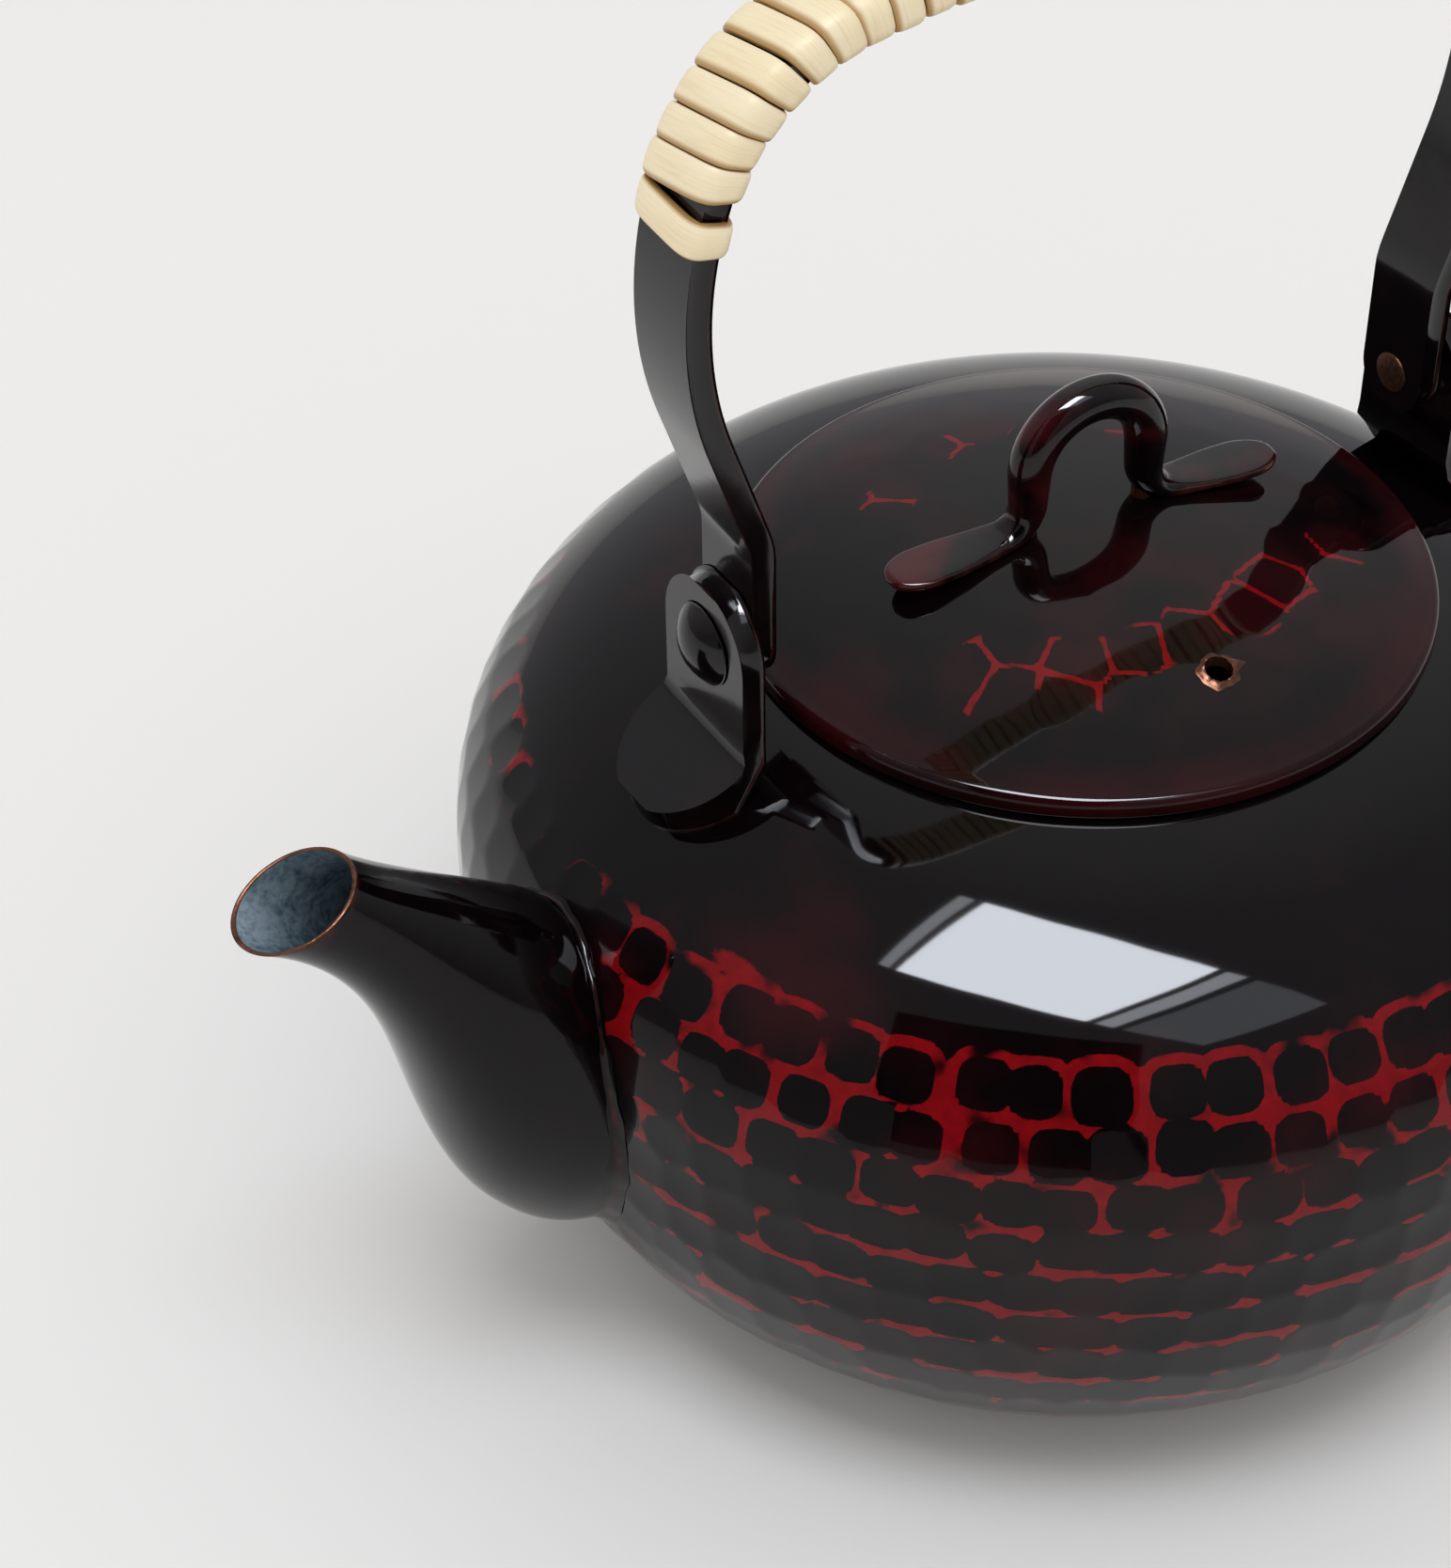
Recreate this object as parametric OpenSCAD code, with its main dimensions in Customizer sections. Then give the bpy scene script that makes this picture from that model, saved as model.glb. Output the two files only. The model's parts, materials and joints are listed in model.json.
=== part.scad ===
// Hammered copper kettle with a swinging bail and a lift-off lid.
// Origin: centre of the flat base. +Z up, the spout points along -X, the steam hole is on the -Y side.

/* [Body] */
// Outside radius at the widest ring
body_r = 92.2; // [88:0.1:96]
// Height of the widest ring above the base
belly_z = 60; // [58:0.5:62]
// Rise of the shoulder curve above the widest ring
shoulder_rise = 47.5; // [46:0.5:48]
// Roundness of the shoulder curve
shoulder_power = 2.4; // [2.2:0.1:2.6]
// Depth of the lower curve below the widest ring, before the flat base cuts it
lower_depth = 67.6; // [66:0.1:70]
// Roundness of the lower curve
lower_power = 2.9; // [2.7:0.1:3.1]
// Thickness of the copper sheet
sheet_t = 1.2; // [1:0.1:1.5]
// Inside radius of the neck that takes the lid
neck_r = 45.4; // [45:0.1:46]
// Depth of the turned-down neck
neck_depth = 6; // [4:0.5:8]

/* [Spout] */
// Half width of the spout's root
spout_root_w = 19.3; // [17:0.1:21]
// Height of the top of the spout's root
spout_root_top = 80.6; // [76:0.1:82]
// Height of the bottom of the spout's root
spout_root_low = 26; // [24:0.5:30]
// Distance of the mouth's upper edge from the kettle's axis
mouth_near_x = 117.6; // [114:0.1:121]
// Distance of the mouth's tip from the kettle's axis
mouth_tip_x = 135.2; // [132:0.1:138]
// Diameter of a strainer hole
strain_d = 5; // [4:0.5:6]
// Width of the braze bead
bead_w = 2.2; // [1.6:0.1:2.6]

/* [Lid] */
// Radius of the lid's crest line
lid_r = 50; // [49:0.5:51]
// Height of the crest line above the base
crest_z = 106; // [105.5:0.1:106.5]
// Rise of the dome above the crest line
dome_h = 10; // [8:0.5:11]
// Height of the turned-down rim
rim_h = 3.1; // [2.8:0.1:3.3]
// Outside radius of the collar under the lid
collar_r = 44.9; // [44:0.1:45]
// Depth of the collar's lower edge below the crest line
collar_depth = 13; // [10:0.5:15]
// Diameter of the steam hole
steam_d = 4; // [3:0.5:5]
// Distance of the steam hole from the lid's axis
steam_r = 34.5; // [30:0.5:38]
// How far the lid is turned from the bail's plane
lid_turn = -3.7; // [-20:0.1:20]

/* [Knob] */
// Diameter of the loop's rod
knob_rod_d = 6.4; // [5:0.1:7]
// Radius of the loop's centre line
knob_bend_r = 9.6; // [9:0.1:12]
// Height of the loop's bend centre above the crest line
knob_bend_z = 19.5; // [17:0.5:22]
// Reach of the leaf feet from the lid's axis
leaf_reach = 32.5; // [30:0.5:35]
// Width of a leaf foot
leaf_w = 8; // [7:0.5:9]
// Thickness of a leaf foot
leaf_t = 2.2; // [1.8:0.1:2.6]

/* [Bail] */
// Width of the strap
strap_w = 11; // [10:0.5:13]
// Thickness of the strap
strap_t = 3.8; // [3.4:0.1:4]
// Distance of the strap's upright centre line from the kettle's axis
strap_x = 57.5; // [57:0.1:58.5]
// Height of the pivot above the base
pivot_z = 119.1; // [118:0.1:120.5]
// Height above the base where the strap begins to lean out
kink_z = 134.5; // [131:0.5:136]
// Angle that the strap leans out, in degrees
lean = 19; // [16:1:20]
// Radius of the bowed side
bow_r = 55; // [50:1:60]
// Length of the straight stretch between the kink and the bow
lean_len = 17.5; // [14:0.5:18]
// Radius of the arch's shoulders
arch_r = 28; // [26:1:30]

/* [Cane] */
// Thickness of the cane strip
cane_t = 1.85; // [1.5:0.05:2.2]
// Width of the cane strip
cane_w = 4.5; // [4:0.1:5]
// Gap between the first turn and the close winding
cane_gap = 1.6; // [1:0.1:2]

/* [Lugs and rivets] */
// Width of the upright ear
ear_w = 18.4; // [17:0.2:20]
// Thickness of the lug's strap
lug_t = 3.6; // [3:0.1:4]
// Radius of the rounded foot
foot_r = 10.4; // [9.5:0.1:11]
// Outward tilt of the foot below level, in degrees
foot_tilt = 31; // [28:1:34]
// Diameter of the rivet's shank
rivet_d = 6.2; // [5.6:0.1:6.6]
// Diameter of the rivet's domed head
rivet_head_d = 12.2; // [11:0.1:13]
// Height of the rivet's domed head
rivet_head_h = 3; // [2.4:0.1:3.4]

/* [Hidden] */
$fn = 96;
skin = 0.02;       // clearance between pieces that are brazed or wound on each other
run_gap = 0.05;    // radial clearance of the bail's pivots
side_gap = 0.2;    // clearance between the bail and each ear
copper = "#2b1d20";
tin = "#5a6f80";
cane = "#ead9ae";
bare = "#8a6a55";

// ---------- body profile ----------

// A point on the outside profile, inset by t. Angle a runs from 0 at the widest ring to 90 at the top.
function shoulder_pt(a, t) = [(body_r - t) * pow(cos(a), 2 / shoulder_power),
    belly_z + (shoulder_rise - t) * pow(sin(a), 2 / shoulder_power)];
function lower_pt(a, t) = [(body_r - t) * pow(cos(a), 2 / lower_power),
    belly_z - (lower_depth - t) * pow(sin(a), 2 / lower_power)];
// Outside radius of the body at height z.
function outside_r(z) = z > belly_z
    ? body_r * pow(1 - pow((z - belly_z) / shoulder_rise, shoulder_power), 1 / shoulder_power)
    : body_r * pow(1 - pow((belly_z - z) / lower_depth, lower_power), 1 / lower_power);
// Angle at which the shoulder has radius r, and at which the lower curve meets height z.
function shoulder_angle(r, t) = acos(pow(r / (body_r - t), shoulder_power / 2));
function lower_angle(z, t) = asin(pow((belly_z - z) / (lower_depth - t), lower_power / 2));

profile_steps = 18;
function shoulder_curve(r_end, t) = [for (i = [0:profile_steps])
    shoulder_pt(shoulder_angle(r_end, t) * i / profile_steps, t)];
function lower_curve(z_end, t) = [for (i = [profile_steps:-1:1])
    lower_pt(lower_angle(z_end, t) * i / profile_steps, t)];

neck_top = shoulder_pt(shoulder_angle(neck_r, 0), 0)[1];
neck_out_r = neck_r + sheet_t;

module body_outline() {
    outside = concat(lower_curve(0, 0), shoulder_curve(neck_r, 0));
    inside = concat(lower_curve(sheet_t, sheet_t), shoulder_curve(neck_out_r, sheet_t));
    inside_back = [for (i = [len(inside) - 1:-1:0]) inside[i]];
    polygon(concat([[0, 0]], outside,
        [[neck_r, neck_top - neck_depth], [neck_out_r, neck_top - neck_depth]],
        inside_back, [[0, sheet_t]]));
}

// The body as a filled solid, grown by skin, which trims whatever is brazed on it.
module body_filled() {
    rotate_extrude($fn = 128)
        polygon(concat([[0, 0]], lower_curve(0, -skin), shoulder_curve(1, -skin), [[0, belly_z + shoulder_rise]]));
}

// Strainer holes, in rows that keep clear of the spout's root.
strain_pitch = 8.5;
strain_rows = 5;
module strainer_holes() {
    row_rise = strain_pitch * sin(60);
    root_mid = (spout_root_top + spout_root_low) / 2;
    for (i = [0:strain_rows - 1])
        for (j = [0:i % 2 == 0 ? 2 : 1])
            translate([-body_r - 2, (j - (i % 2 == 0 ? 1 : 0.5)) * strain_pitch,
                root_mid + (i - (strain_rows - 1) / 2) * row_rise])
                rotate([0, 90, 0]) cylinder(d = strain_d, h = 12, $fn = 32);
}

module body_shell() {
    color(copper) difference() {
        rotate_extrude($fn = 128) body_outline();
        strainer_holes();
    }
}

// ---------- spout ----------

function bezier(p, s) = pow(1 - s, 3) * p[0] + 3 * pow(1 - s, 2) * s * p[1] + 3 * (1 - s) * s * s * p[2]
    + pow(s, 3) * p[3];
// Upper and lower outlines of the spout in the bail's plane: distance from the axis and height.
spout_start_x = 84.5;
spout_top = [[spout_start_x, spout_root_top], [96, 90], [113, 101], [mouth_near_x, 106.6]];
spout_low = [[spout_start_x, spout_root_low], [123, 30], [100.5, 81], [mouth_tip_x, 100.4]];
spout_half_w = [spout_root_w, 20, 7.4, 8];
spout_sides = 40;
spout_stations = concat([0], [for (i = [0:16]) 0.12 + 0.88 * i / 16]);

// One ring of the spout at station s, inset by t. The root ring lies on the body.
function spout_ring(s, t) =
    let (top = bezier(spout_top, s), low = bezier(spout_low, s), mid = (top + low) / 2,
        half = (top - low) / 2, keep = 1 - t / norm(half), w = bezier(spout_half_w, s) - t)
    [for (i = [0:spout_sides - 1])
        let (a = 360 * i / spout_sides, p = mid + half * keep * cos(a), y = w * sin(a),
            x = s == 0 ? sqrt(pow(outside_r(p[1]), 2) - y * y) + skin : p[0])
        [-x, y, p[1]]];

// A closed skin over rings of points: each ring joins the next, and the last joins the first.
module ring_skin(rings) {
    n = len(rings[0]);
    m = len(rings);
    faces = [for (k = [0:m - 1], i = [0:n - 1], half = [0, 1])
        let (a = k * n + i, b = k * n + (i + 1) % n, c = ((k + 1) % m) * n + i, d = ((k + 1) % m) * n + (i + 1) % n)
        half == 0 ? [a, c, b] : [b, c, d]];
    polyhedron(points = [for (r = rings) for (p = r) p], faces = faces, convexity = 4);
}

// The spout's wall between two insets of its outside.
module spout_wall(out_t, in_t) {
    outside = [for (s = spout_stations) spout_ring(s, out_t)];
    inside = [for (i = [len(spout_stations) - 1:-1:0]) spout_ring(spout_stations[i], in_t)];
    ring_skin(concat(outside, inside));
}
module spout() { color(copper) spout_wall(0, sheet_t); }

// The bead fills the corner between the body and the spout's root. It is drawn through the spout's wall and
// trimmed by it, so it has the wall's own shape on that side.
bead_gap = 0.12;   // clearance of the bead from the body and from the spout
bead_root = 0.6;   // how far the bead reaches into the wall before it is trimmed
bead_share = 0.44; // share of the first stretch of the spout that the bead climbs
bead_bulge = 0.45; // how far the bead's face stands out from a straight chamfer
module spout_braze() {
    off_body = [-bead_gap, 0, 0];
    root = [for (p = spout_ring(0, bead_root)) p + off_body];
    flat = [for (p = spout_ring(0, -bead_w)) p + off_body];
    up = spout_ring(0.12, bead_root);
    crest = [for (i = [0:spout_sides - 1]) root[i] + (up[i] - root[i]) * bead_share];
    bulge = [for (i = [0:spout_sides - 1]) (flat[i] + crest[i]) / 2 - [bead_bulge, 0, 0]];
    color(copper) difference() {
        ring_skin([root, flat, bulge, crest]);
        spout_wall(-bead_gap, 3 * sheet_t);
    }
}

// ---------- lugs and rivets ----------

ear_in_x = strap_x + strap_t / 2 + side_gap;
ear_out_x = ear_in_x + lug_t;
foot_z = 103.4;      // height of the foot's top face where the bend starts
foot_len = 13;

// Side view of a bent strap, in X and Z: ear, bend, foot.
module lug_side() {
    bend_r = lug_t + 2.2;
    bend_z = foot_z + 2.6;
    translate([ear_in_x, bend_z]) square([lug_t, pivot_z + ear_w / 2 - bend_z]);
    translate([ear_in_x + bend_r, bend_z]) intersection() {
        difference() {
            circle(r = bend_r);
            circle(r = bend_r - lug_t);
        }
        polygon([[0, 0], [-2 * bend_r, 0], [-2 * bend_r, -2 * bend_r],
            [-2 * bend_r * sin(foot_tilt), -2 * bend_r * cos(foot_tilt)]]);
    }
    translate([ear_in_x + bend_r, bend_z]) rotate(-foot_tilt)
        translate([-0.01, -bend_r]) square([foot_len, lug_t]);
}

// Front view of the ear, in Y and Z, and plan of the foot, in X and Y.
module ear_front() {
    translate([0, pivot_z]) circle(d = ear_w);
    translate([-ear_w / 2, foot_z]) square([ear_w, pivot_z - foot_z]);
    translate([-foot_r, foot_z - 20]) square([2 * foot_r, 20]);
}
module foot_plan() {
    translate([ear_out_x + 0.5, 0]) circle(r = foot_r);
    translate([ear_in_x - 1, -foot_r]) square([lug_t + 1.5, 2 * foot_r]);
}

// A lug on the +X side; side = -1 puts it on the spout's side.
module lug(side) {
    color(copper) scale([side, 1, 1]) difference() {
        intersection() {
            rotate([90, 0, 0]) linear_extrude(3 * foot_r, center = true) lug_side();
            rotate([90, 0, 90]) linear_extrude(200) ear_front();
            linear_extrude(200) foot_plan();
        }
        body_filled();
        translate([strap_x, 0, pivot_z]) rotate([0, 90, 0]) cylinder(d = rivet_d + 2 * skin, h = 20, $fn = 48);
    }
}
module front_lug() { lug(-1); }
module rear_lug() { lug(1); }

// Domed head outside the ear, plain shank through ear and strap, flush inside.
module rivet(side) {
    dome_r = (pow(rivet_head_d / 2, 2) + pow(rivet_head_h, 2)) / (2 * rivet_head_h);
    inner_x = strap_x - strap_t / 2 - 0.3;
    color(bare) scale([side, 1, 1]) {
        translate([inner_x, 0, pivot_z]) rotate([0, 90, 0])
            cylinder(d = rivet_d, h = ear_out_x - inner_x + 0.5, $fn = 48);
        translate([ear_out_x + skin, 0, pivot_z]) rotate([0, 90, 0]) intersection() {
            translate([0, 0, rivet_head_h - dome_r]) sphere(r = dome_r, $fn = 96);
            cylinder(d = rivet_head_d, h = rivet_head_h, $fn = 64);
        }
    }
}
module front_rivet() { rivet(-1); }
module rear_rivet() { rivet(1); }

// ---------- bail ----------

// Centre line of one half of the bail as [x, z, heading], where heading is the lean out from upright.
kink_r = 10;
crown_turn = 8;
arc_step = 5;
function arc_points(p, r, turn) = let (n = ceil(abs(turn) / arc_step), h = p[2], side = sign(turn))
    [for (i = [1:n]) let (g = h + turn * i / n)
        [p[0] - side * r * (cos(g) - cos(h)), p[1] + side * r * (sin(g) - sin(h)), g]];
function straight_point(p, d) = [p[0] + d * sin(p[2]), p[1] + d * cos(p[2]), p[2]];
function last(v) = v[len(v) - 1];

foot_pt = [strap_x, pivot_z, 0];
kink_curve = concat([foot_pt, straight_point(foot_pt, kink_z - pivot_z)],
    arc_points(straight_point(foot_pt, kink_z - pivot_z), kink_r, lean));
bow_start = straight_point(last(kink_curve), lean_len);
bow_curve = concat([bow_start], arc_points(bow_start, bow_r, -2 * lean));
shoulder_line = arc_points(last(bow_curve), arch_r, -(90 - crown_turn - lean));
crown_r = last(shoulder_line)[0] / sin(crown_turn);
crown_line = arc_points(last(shoulder_line), crown_r, -crown_turn);
strap_line = concat(kink_curve, bow_curve, shoulder_line, crown_line);
cane_line = concat([last(bow_curve)], shoulder_line, crown_line);

// Band of thickness t that follows half a line and its mirror image.
function side_pts(line, t) = [for (p = line) [p[0] + t / 2 * cos(p[2]), p[1] - t / 2 * sin(p[2])]];
function back(v) = [for (i = [len(v) - 1:-1:0]) v[i]];
function flip_x(v) = [for (p = v) [-p[0], p[1]]];
module half_band(line, t) {
    polygon(concat(side_pts(line, t), back(side_pts(line, -t))));
}
module full_band(line, t) {
    outer = side_pts(line, t);
    inner = side_pts(line, -t);
    n = len(line) - 1;
    polygon(concat(outer, back(flip_x([for (i = [0:n - 1]) outer[i]])), flip_x([for (i = [0:n - 1]) inner[i]]),
        back(inner)));
}
module sweep_across(w) { rotate([90, 0, 0]) linear_extrude(w, center = true) children(); }

module bail_strap() {
    color(copper) difference() {
        union() {
            sweep_across(strap_w) full_band(strap_line, strap_t);
            for (side = [-1, 1])
                translate([side * strap_x - strap_t / 2, 0, pivot_z]) rotate([0, 90, 0])
                    cylinder(d = strap_w, h = strap_t, $fn = 64);
        }
        for (side = [-1, 1])
            translate([side * strap_x - 5, 0, pivot_z]) rotate([0, 90, 0])
                cylinder(d = rivet_d + 2 * run_gap, h = 10, $fn = 48);
    }
}

// Cane sleeves: outside band less the strap.
module strap_core() { sweep_across(strap_w + 2 * skin) full_band(strap_line, strap_t + 2 * skin); }
cane_out_t = strap_t + 2 * cane_t;
cane_out_w = strap_w + 2 * cane_t;

module cane_wrap() {
    color(cane) difference() {
        sweep_across(cane_out_w) full_band(cane_line, cane_out_t);
        strap_core();
    }
}
// The first turn sits below the close winding, on the bow's upper end.
turn_top = straight_point([last(bow_curve)[0], last(bow_curve)[1], 180 - lean], cane_gap);
turn_low = straight_point(turn_top, cane_w);
module cane_turn(side) {
    line = [[turn_low[0], turn_low[1], -lean], [turn_top[0], turn_top[1], -lean]];
    color(cane) scale([side, 1, 1]) difference() {
        sweep_across(cane_out_w) half_band(line, cane_out_t);
        strap_core();
    }
}
module cane_turn_front() { cane_turn(-1); }
module cane_turn_rear() { cane_turn(1); }

// ---------- lid ----------

dome_ball_r = (lid_r * lid_r + dome_h * dome_h) / (2 * dome_h);
// Height of the dome's top face at radius r.
function dome_z(r) = crest_z + dome_h - dome_ball_r + sqrt(dome_ball_r * dome_ball_r - r * r);
rim_round = 1.4;
dome_steps = 12;
crest_in_r = lid_r - 0.6;
function dome_curve(drop) = [for (i = [0:dome_steps]) [crest_in_r * i / dome_steps,
    dome_z(crest_in_r * i / dome_steps) - drop]];
rim_out_r = lid_r + rim_round - 0.2;
module lid_outline() {
    rim_low = crest_z - rim_h;
    rim_arc = [for (a = [70:-17.5:0]) [rim_out_r - rim_round + rim_round * cos(a),
        crest_z - rim_round + rim_round * sin(a)]];
    polygon(concat(dome_curve(0), rim_arc, [[rim_out_r, rim_low], [rim_out_r - sheet_t, rim_low],
        [rim_out_r - sheet_t, crest_z - rim_round - 0.4], [crest_in_r - 0.2, crest_z - sheet_t]],
        back([for (i = [0:dome_steps - 1]) dome_curve(sheet_t)[i]])));
}
knob_pin_d = 3;
module knob_pin_holes(d) {
    for (side = [-1, 1])
        translate([side * knob_bend_r, 0, crest_z]) cylinder(d = d, h = 14, $fn = 32);
}
module lid_disc() {
    color(copper) rotate([0, 0, lid_turn]) difference() {
        rotate_extrude($fn = 128) lid_outline();
        translate([0, -steam_r, crest_z - 5]) cylinder(d = steam_d, h = 20, $fn = 48);
        knob_pin_holes(knob_pin_d + 2 * skin);
    }
}
collar_t = 1;
module lid_collar() {
    low = crest_z - collar_depth;
    ring_top = dome_z(collar_r) - sheet_t - skin;
    color(tin) rotate_extrude($fn = 128) translate([collar_r - collar_t, low]) square([collar_t, ring_top - low]);
}

// ---------- knob ----------

module lid_filled() {
    rotate_extrude($fn = 128) polygon(concat(dome_curve(-skin), [[crest_in_r, crest_z - 5], [0, crest_z - 5]]));
}
// Plan of a leaf foot: narrow at the leg, widest two thirds out, round tip.
leaf_tip_d = 4;
leaf_wide_back = 9;  // distance of the widest place from the tip
leaf_drop = 2.5;     // degrees that the foot falls away from level
leaf_sink = 0.9;     // how far the foot's underside starts below the dome's top, before the lid trims it
module leaf_plan() {
    hull() {
        translate([knob_bend_r, -knob_rod_d / 2]) square([1, knob_rod_d]);
        translate([leaf_reach - leaf_wide_back, 0]) circle(d = leaf_w, $fn = 32);
        translate([leaf_reach - leaf_tip_d / 2, 0]) circle(d = leaf_tip_d, $fn = 32);
    }
}
module knob_half() {
    rod_r = knob_rod_d / 2;
    translate([knob_bend_r, 0, crest_z + dome_h - 2]) cylinder(r = rod_r, h = knob_bend_z - dome_h + 2, $fn = 48);
    translate([0, 0, crest_z + dome_h - leaf_sink]) rotate([0, leaf_drop, 0])
        linear_extrude(leaf_t) leaf_plan();
}
module knob_loop() {
    color(copper) rotate([0, 0, lid_turn]) difference() {
        union() {
            translate([0, 0, crest_z + knob_bend_z]) rotate([90, 0, 0])
                rotate_extrude(angle = 180, $fn = 64) translate([knob_bend_r, 0]) circle(d = knob_rod_d, $fn = 48);
            knob_half();
            rotate([0, 0, 180]) knob_half();
        }
        lid_filled();
        knob_pin_holes(knob_pin_d + 2 * skin);
    }
}
// Each rivet goes up through the lid into a leg of the loop. Its head is trimmed by the lid's underside.
knob_head_d = 6;
knob_head_t = 1.2;
knob_pin_top = 13.5; // height of the pin's top above the crest line
module knob_rivets() {
    under = dome_z(knob_bend_r + knob_head_d / 2) - sheet_t - knob_head_t / 2;
    shank_h = crest_z + knob_pin_top - under + knob_head_t;
    color(bare) rotate([0, 0, lid_turn]) for (side = [-1, 1]) difference() {
        translate([side * knob_bend_r, 0, under - knob_head_t]) {
            cylinder(d = knob_head_d, h = 2 * knob_head_t, $fn = 32);
            cylinder(d = knob_pin_d, h = shank_h, $fn = 32);
        }
        difference() {
            translate([0, 0, crest_z - 2]) cylinder(r = 30, h = 20);
            rotate_extrude($fn = 128) polygon(concat(dome_curve(sheet_t + skin),
                [[crest_in_r, crest_z - 5], [0, crest_z - 5]]));
            translate([side * knob_bend_r, 0, crest_z]) cylinder(d = knob_pin_d + skin, h = 20, $fn = 32);
        }
    }
}

body_shell();
spout();
spout_braze();
front_lug();
rear_lug();
front_rivet();
rear_rivet();
bail_strap();
cane_wrap();
cane_turn_front();
cane_turn_rear();
lid_disc();
lid_collar();
knob_loop();
knob_rivets();
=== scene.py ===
# %% [markdown]
# # A hammered copper kettle, lacquered black over red
#
# The kettle is raised from sheet copper. Its lower half is planished with a hammer, so it is covered with
# rows of small facets. It is lacquered red, then black, and the black is rubbed back so that the red shows
# on the ridges between the facets. A bent strap wound with cane is its bail, and a loop of copper rod with
# two leaf-shaped feet is the lid's knob.
#
# The mechanical model is loaded first and never changes. Every piece below is built in its frame: metres,
# +Z up, the spout along -X, and the origin at the centre of the base. Shapes are worked out in millimetres,
# because that is how a coppersmith measures, and are turned to metres when a piece is made.

import json
import math

import bmesh
import bpy
import numpy as np
from mathutils import Matrix, Vector


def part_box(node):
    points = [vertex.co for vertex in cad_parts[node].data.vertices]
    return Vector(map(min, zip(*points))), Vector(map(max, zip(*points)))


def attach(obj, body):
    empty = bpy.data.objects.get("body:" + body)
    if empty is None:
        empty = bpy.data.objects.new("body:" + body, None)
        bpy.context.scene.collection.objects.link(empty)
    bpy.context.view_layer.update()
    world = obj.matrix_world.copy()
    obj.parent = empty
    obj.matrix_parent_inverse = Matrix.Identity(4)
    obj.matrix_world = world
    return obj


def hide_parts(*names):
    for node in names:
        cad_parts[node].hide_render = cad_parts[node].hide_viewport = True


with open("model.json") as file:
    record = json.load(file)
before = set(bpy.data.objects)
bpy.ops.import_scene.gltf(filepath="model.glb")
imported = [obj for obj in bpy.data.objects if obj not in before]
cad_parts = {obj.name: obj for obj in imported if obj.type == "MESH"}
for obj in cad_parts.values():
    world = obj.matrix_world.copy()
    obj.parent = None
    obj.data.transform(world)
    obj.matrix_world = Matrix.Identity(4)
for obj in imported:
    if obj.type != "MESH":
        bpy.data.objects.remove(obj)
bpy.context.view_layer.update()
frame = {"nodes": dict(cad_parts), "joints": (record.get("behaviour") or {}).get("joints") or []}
MM = 0.001


def box_mm(node):
    """The lowest and highest corners of a mechanical node's box at rest, in millimetres."""
    return [Vector(corner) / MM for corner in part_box(node)]


# %% [markdown]
# ## Camera
#
# An 80 mm lens looks down on the kettle from the spout's side at about 41 degrees. The camera could be aimed
# with a Track To constraint, but its place follows from four plain values: the aim point, the two angles of
# the view and the distance. The head of the tripod is turned by a little under one degree.

# %% Place the camera
AIM = Vector((-0.0545, 0.0092, 0.0832))
VIEW_AZIMUTH = math.radians(-31.16)
VIEW_ELEVATION = math.radians(41.17)
VIEW_ROLL = math.radians(-0.81)
VIEW_DISTANCE = 0.5
FOCAL_LENGTH = 79.95

scene = bpy.context.scene
toward_camera = Vector((
    math.sin(VIEW_AZIMUTH) * math.cos(VIEW_ELEVATION),
    -math.cos(VIEW_AZIMUTH) * math.cos(VIEW_ELEVATION),
    math.sin(VIEW_ELEVATION),
))
camera_data = bpy.data.cameras.new("studio_camera")
camera_data.lens = FOCAL_LENGTH
camera = bpy.data.objects.new("studio_camera", camera_data)
aim_turn = (-toward_camera).to_track_quat("-Z", "Y").to_matrix().to_4x4()
camera.matrix_world = (
    Matrix.Translation(AIM + toward_camera * VIEW_DISTANCE)
    @ aim_turn
    @ Matrix.Rotation(VIEW_ROLL, 4, "Z")
)
scene.collection.objects.link(camera)
scene.camera = camera
print("camera at", [round(x, 4) for x in camera.matrix_world.translation])

# %% [markdown]
# ## Helpers for colours and materials
#
# Colours are written as sRGB hex values, as a paint shop gives them. Blender's shaders want linear values,
# so one function converts them. Another adds one node, sets it up and links it: a value that is a socket is
# linked, and any other value is set. The short ones below it name the few kinds of node that every material
# needs, and each returns the socket that carries its result.

# %% Colour and node helpers


def linear(hex_colour):
    """An sRGB hex colour, such as #b01218, as linear red, green, blue and alpha."""
    channels = [int(hex_colour[i:i + 2], 16) / 255 for i in (1, 3, 5)]
    values = [c / 12.92 if c <= 0.04045 else ((c + 0.055) / 1.055) ** 2.4 for c in channels]
    return (*values, 1.0)


def add_node(material, kind, inputs=None, **settings):
    """Adds a node of that kind. Its inputs are named or numbered, and are set or linked."""
    node = material.node_tree.nodes.new(kind)
    for name, value in settings.items():
        setattr(node, name, value)
    for name, value in (inputs or {}).items():
        if isinstance(value, bpy.types.NodeSocket):
            material.node_tree.links.new(value, node.inputs[name])
        else:
            node.inputs[name].default_value = value
    return node


def new_material(name, **values):
    """A material with one Principled shader, whose uniform values are set on its own sockets."""
    material = bpy.data.materials.new(name)
    material.use_nodes = True
    shader = material.node_tree.nodes["Principled BSDF"]
    for socket, value in values.items():
        shader.inputs[socket.replace("_", " ")].default_value = value
    return material, shader


def mixed(material, share, low, high):
    """The colour that lies at that share of the way from low to high."""
    return add_node(material, "ShaderNodeMix", {0: share, 6: low, 7: high}, data_type="RGBA").outputs[2]


def calculated(material, operation, *values):
    """The result of one operation on up to three values."""
    node = add_node(material, "ShaderNodeMath", dict(enumerate(values)), operation=operation)
    return node.outputs["Value"]


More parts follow.
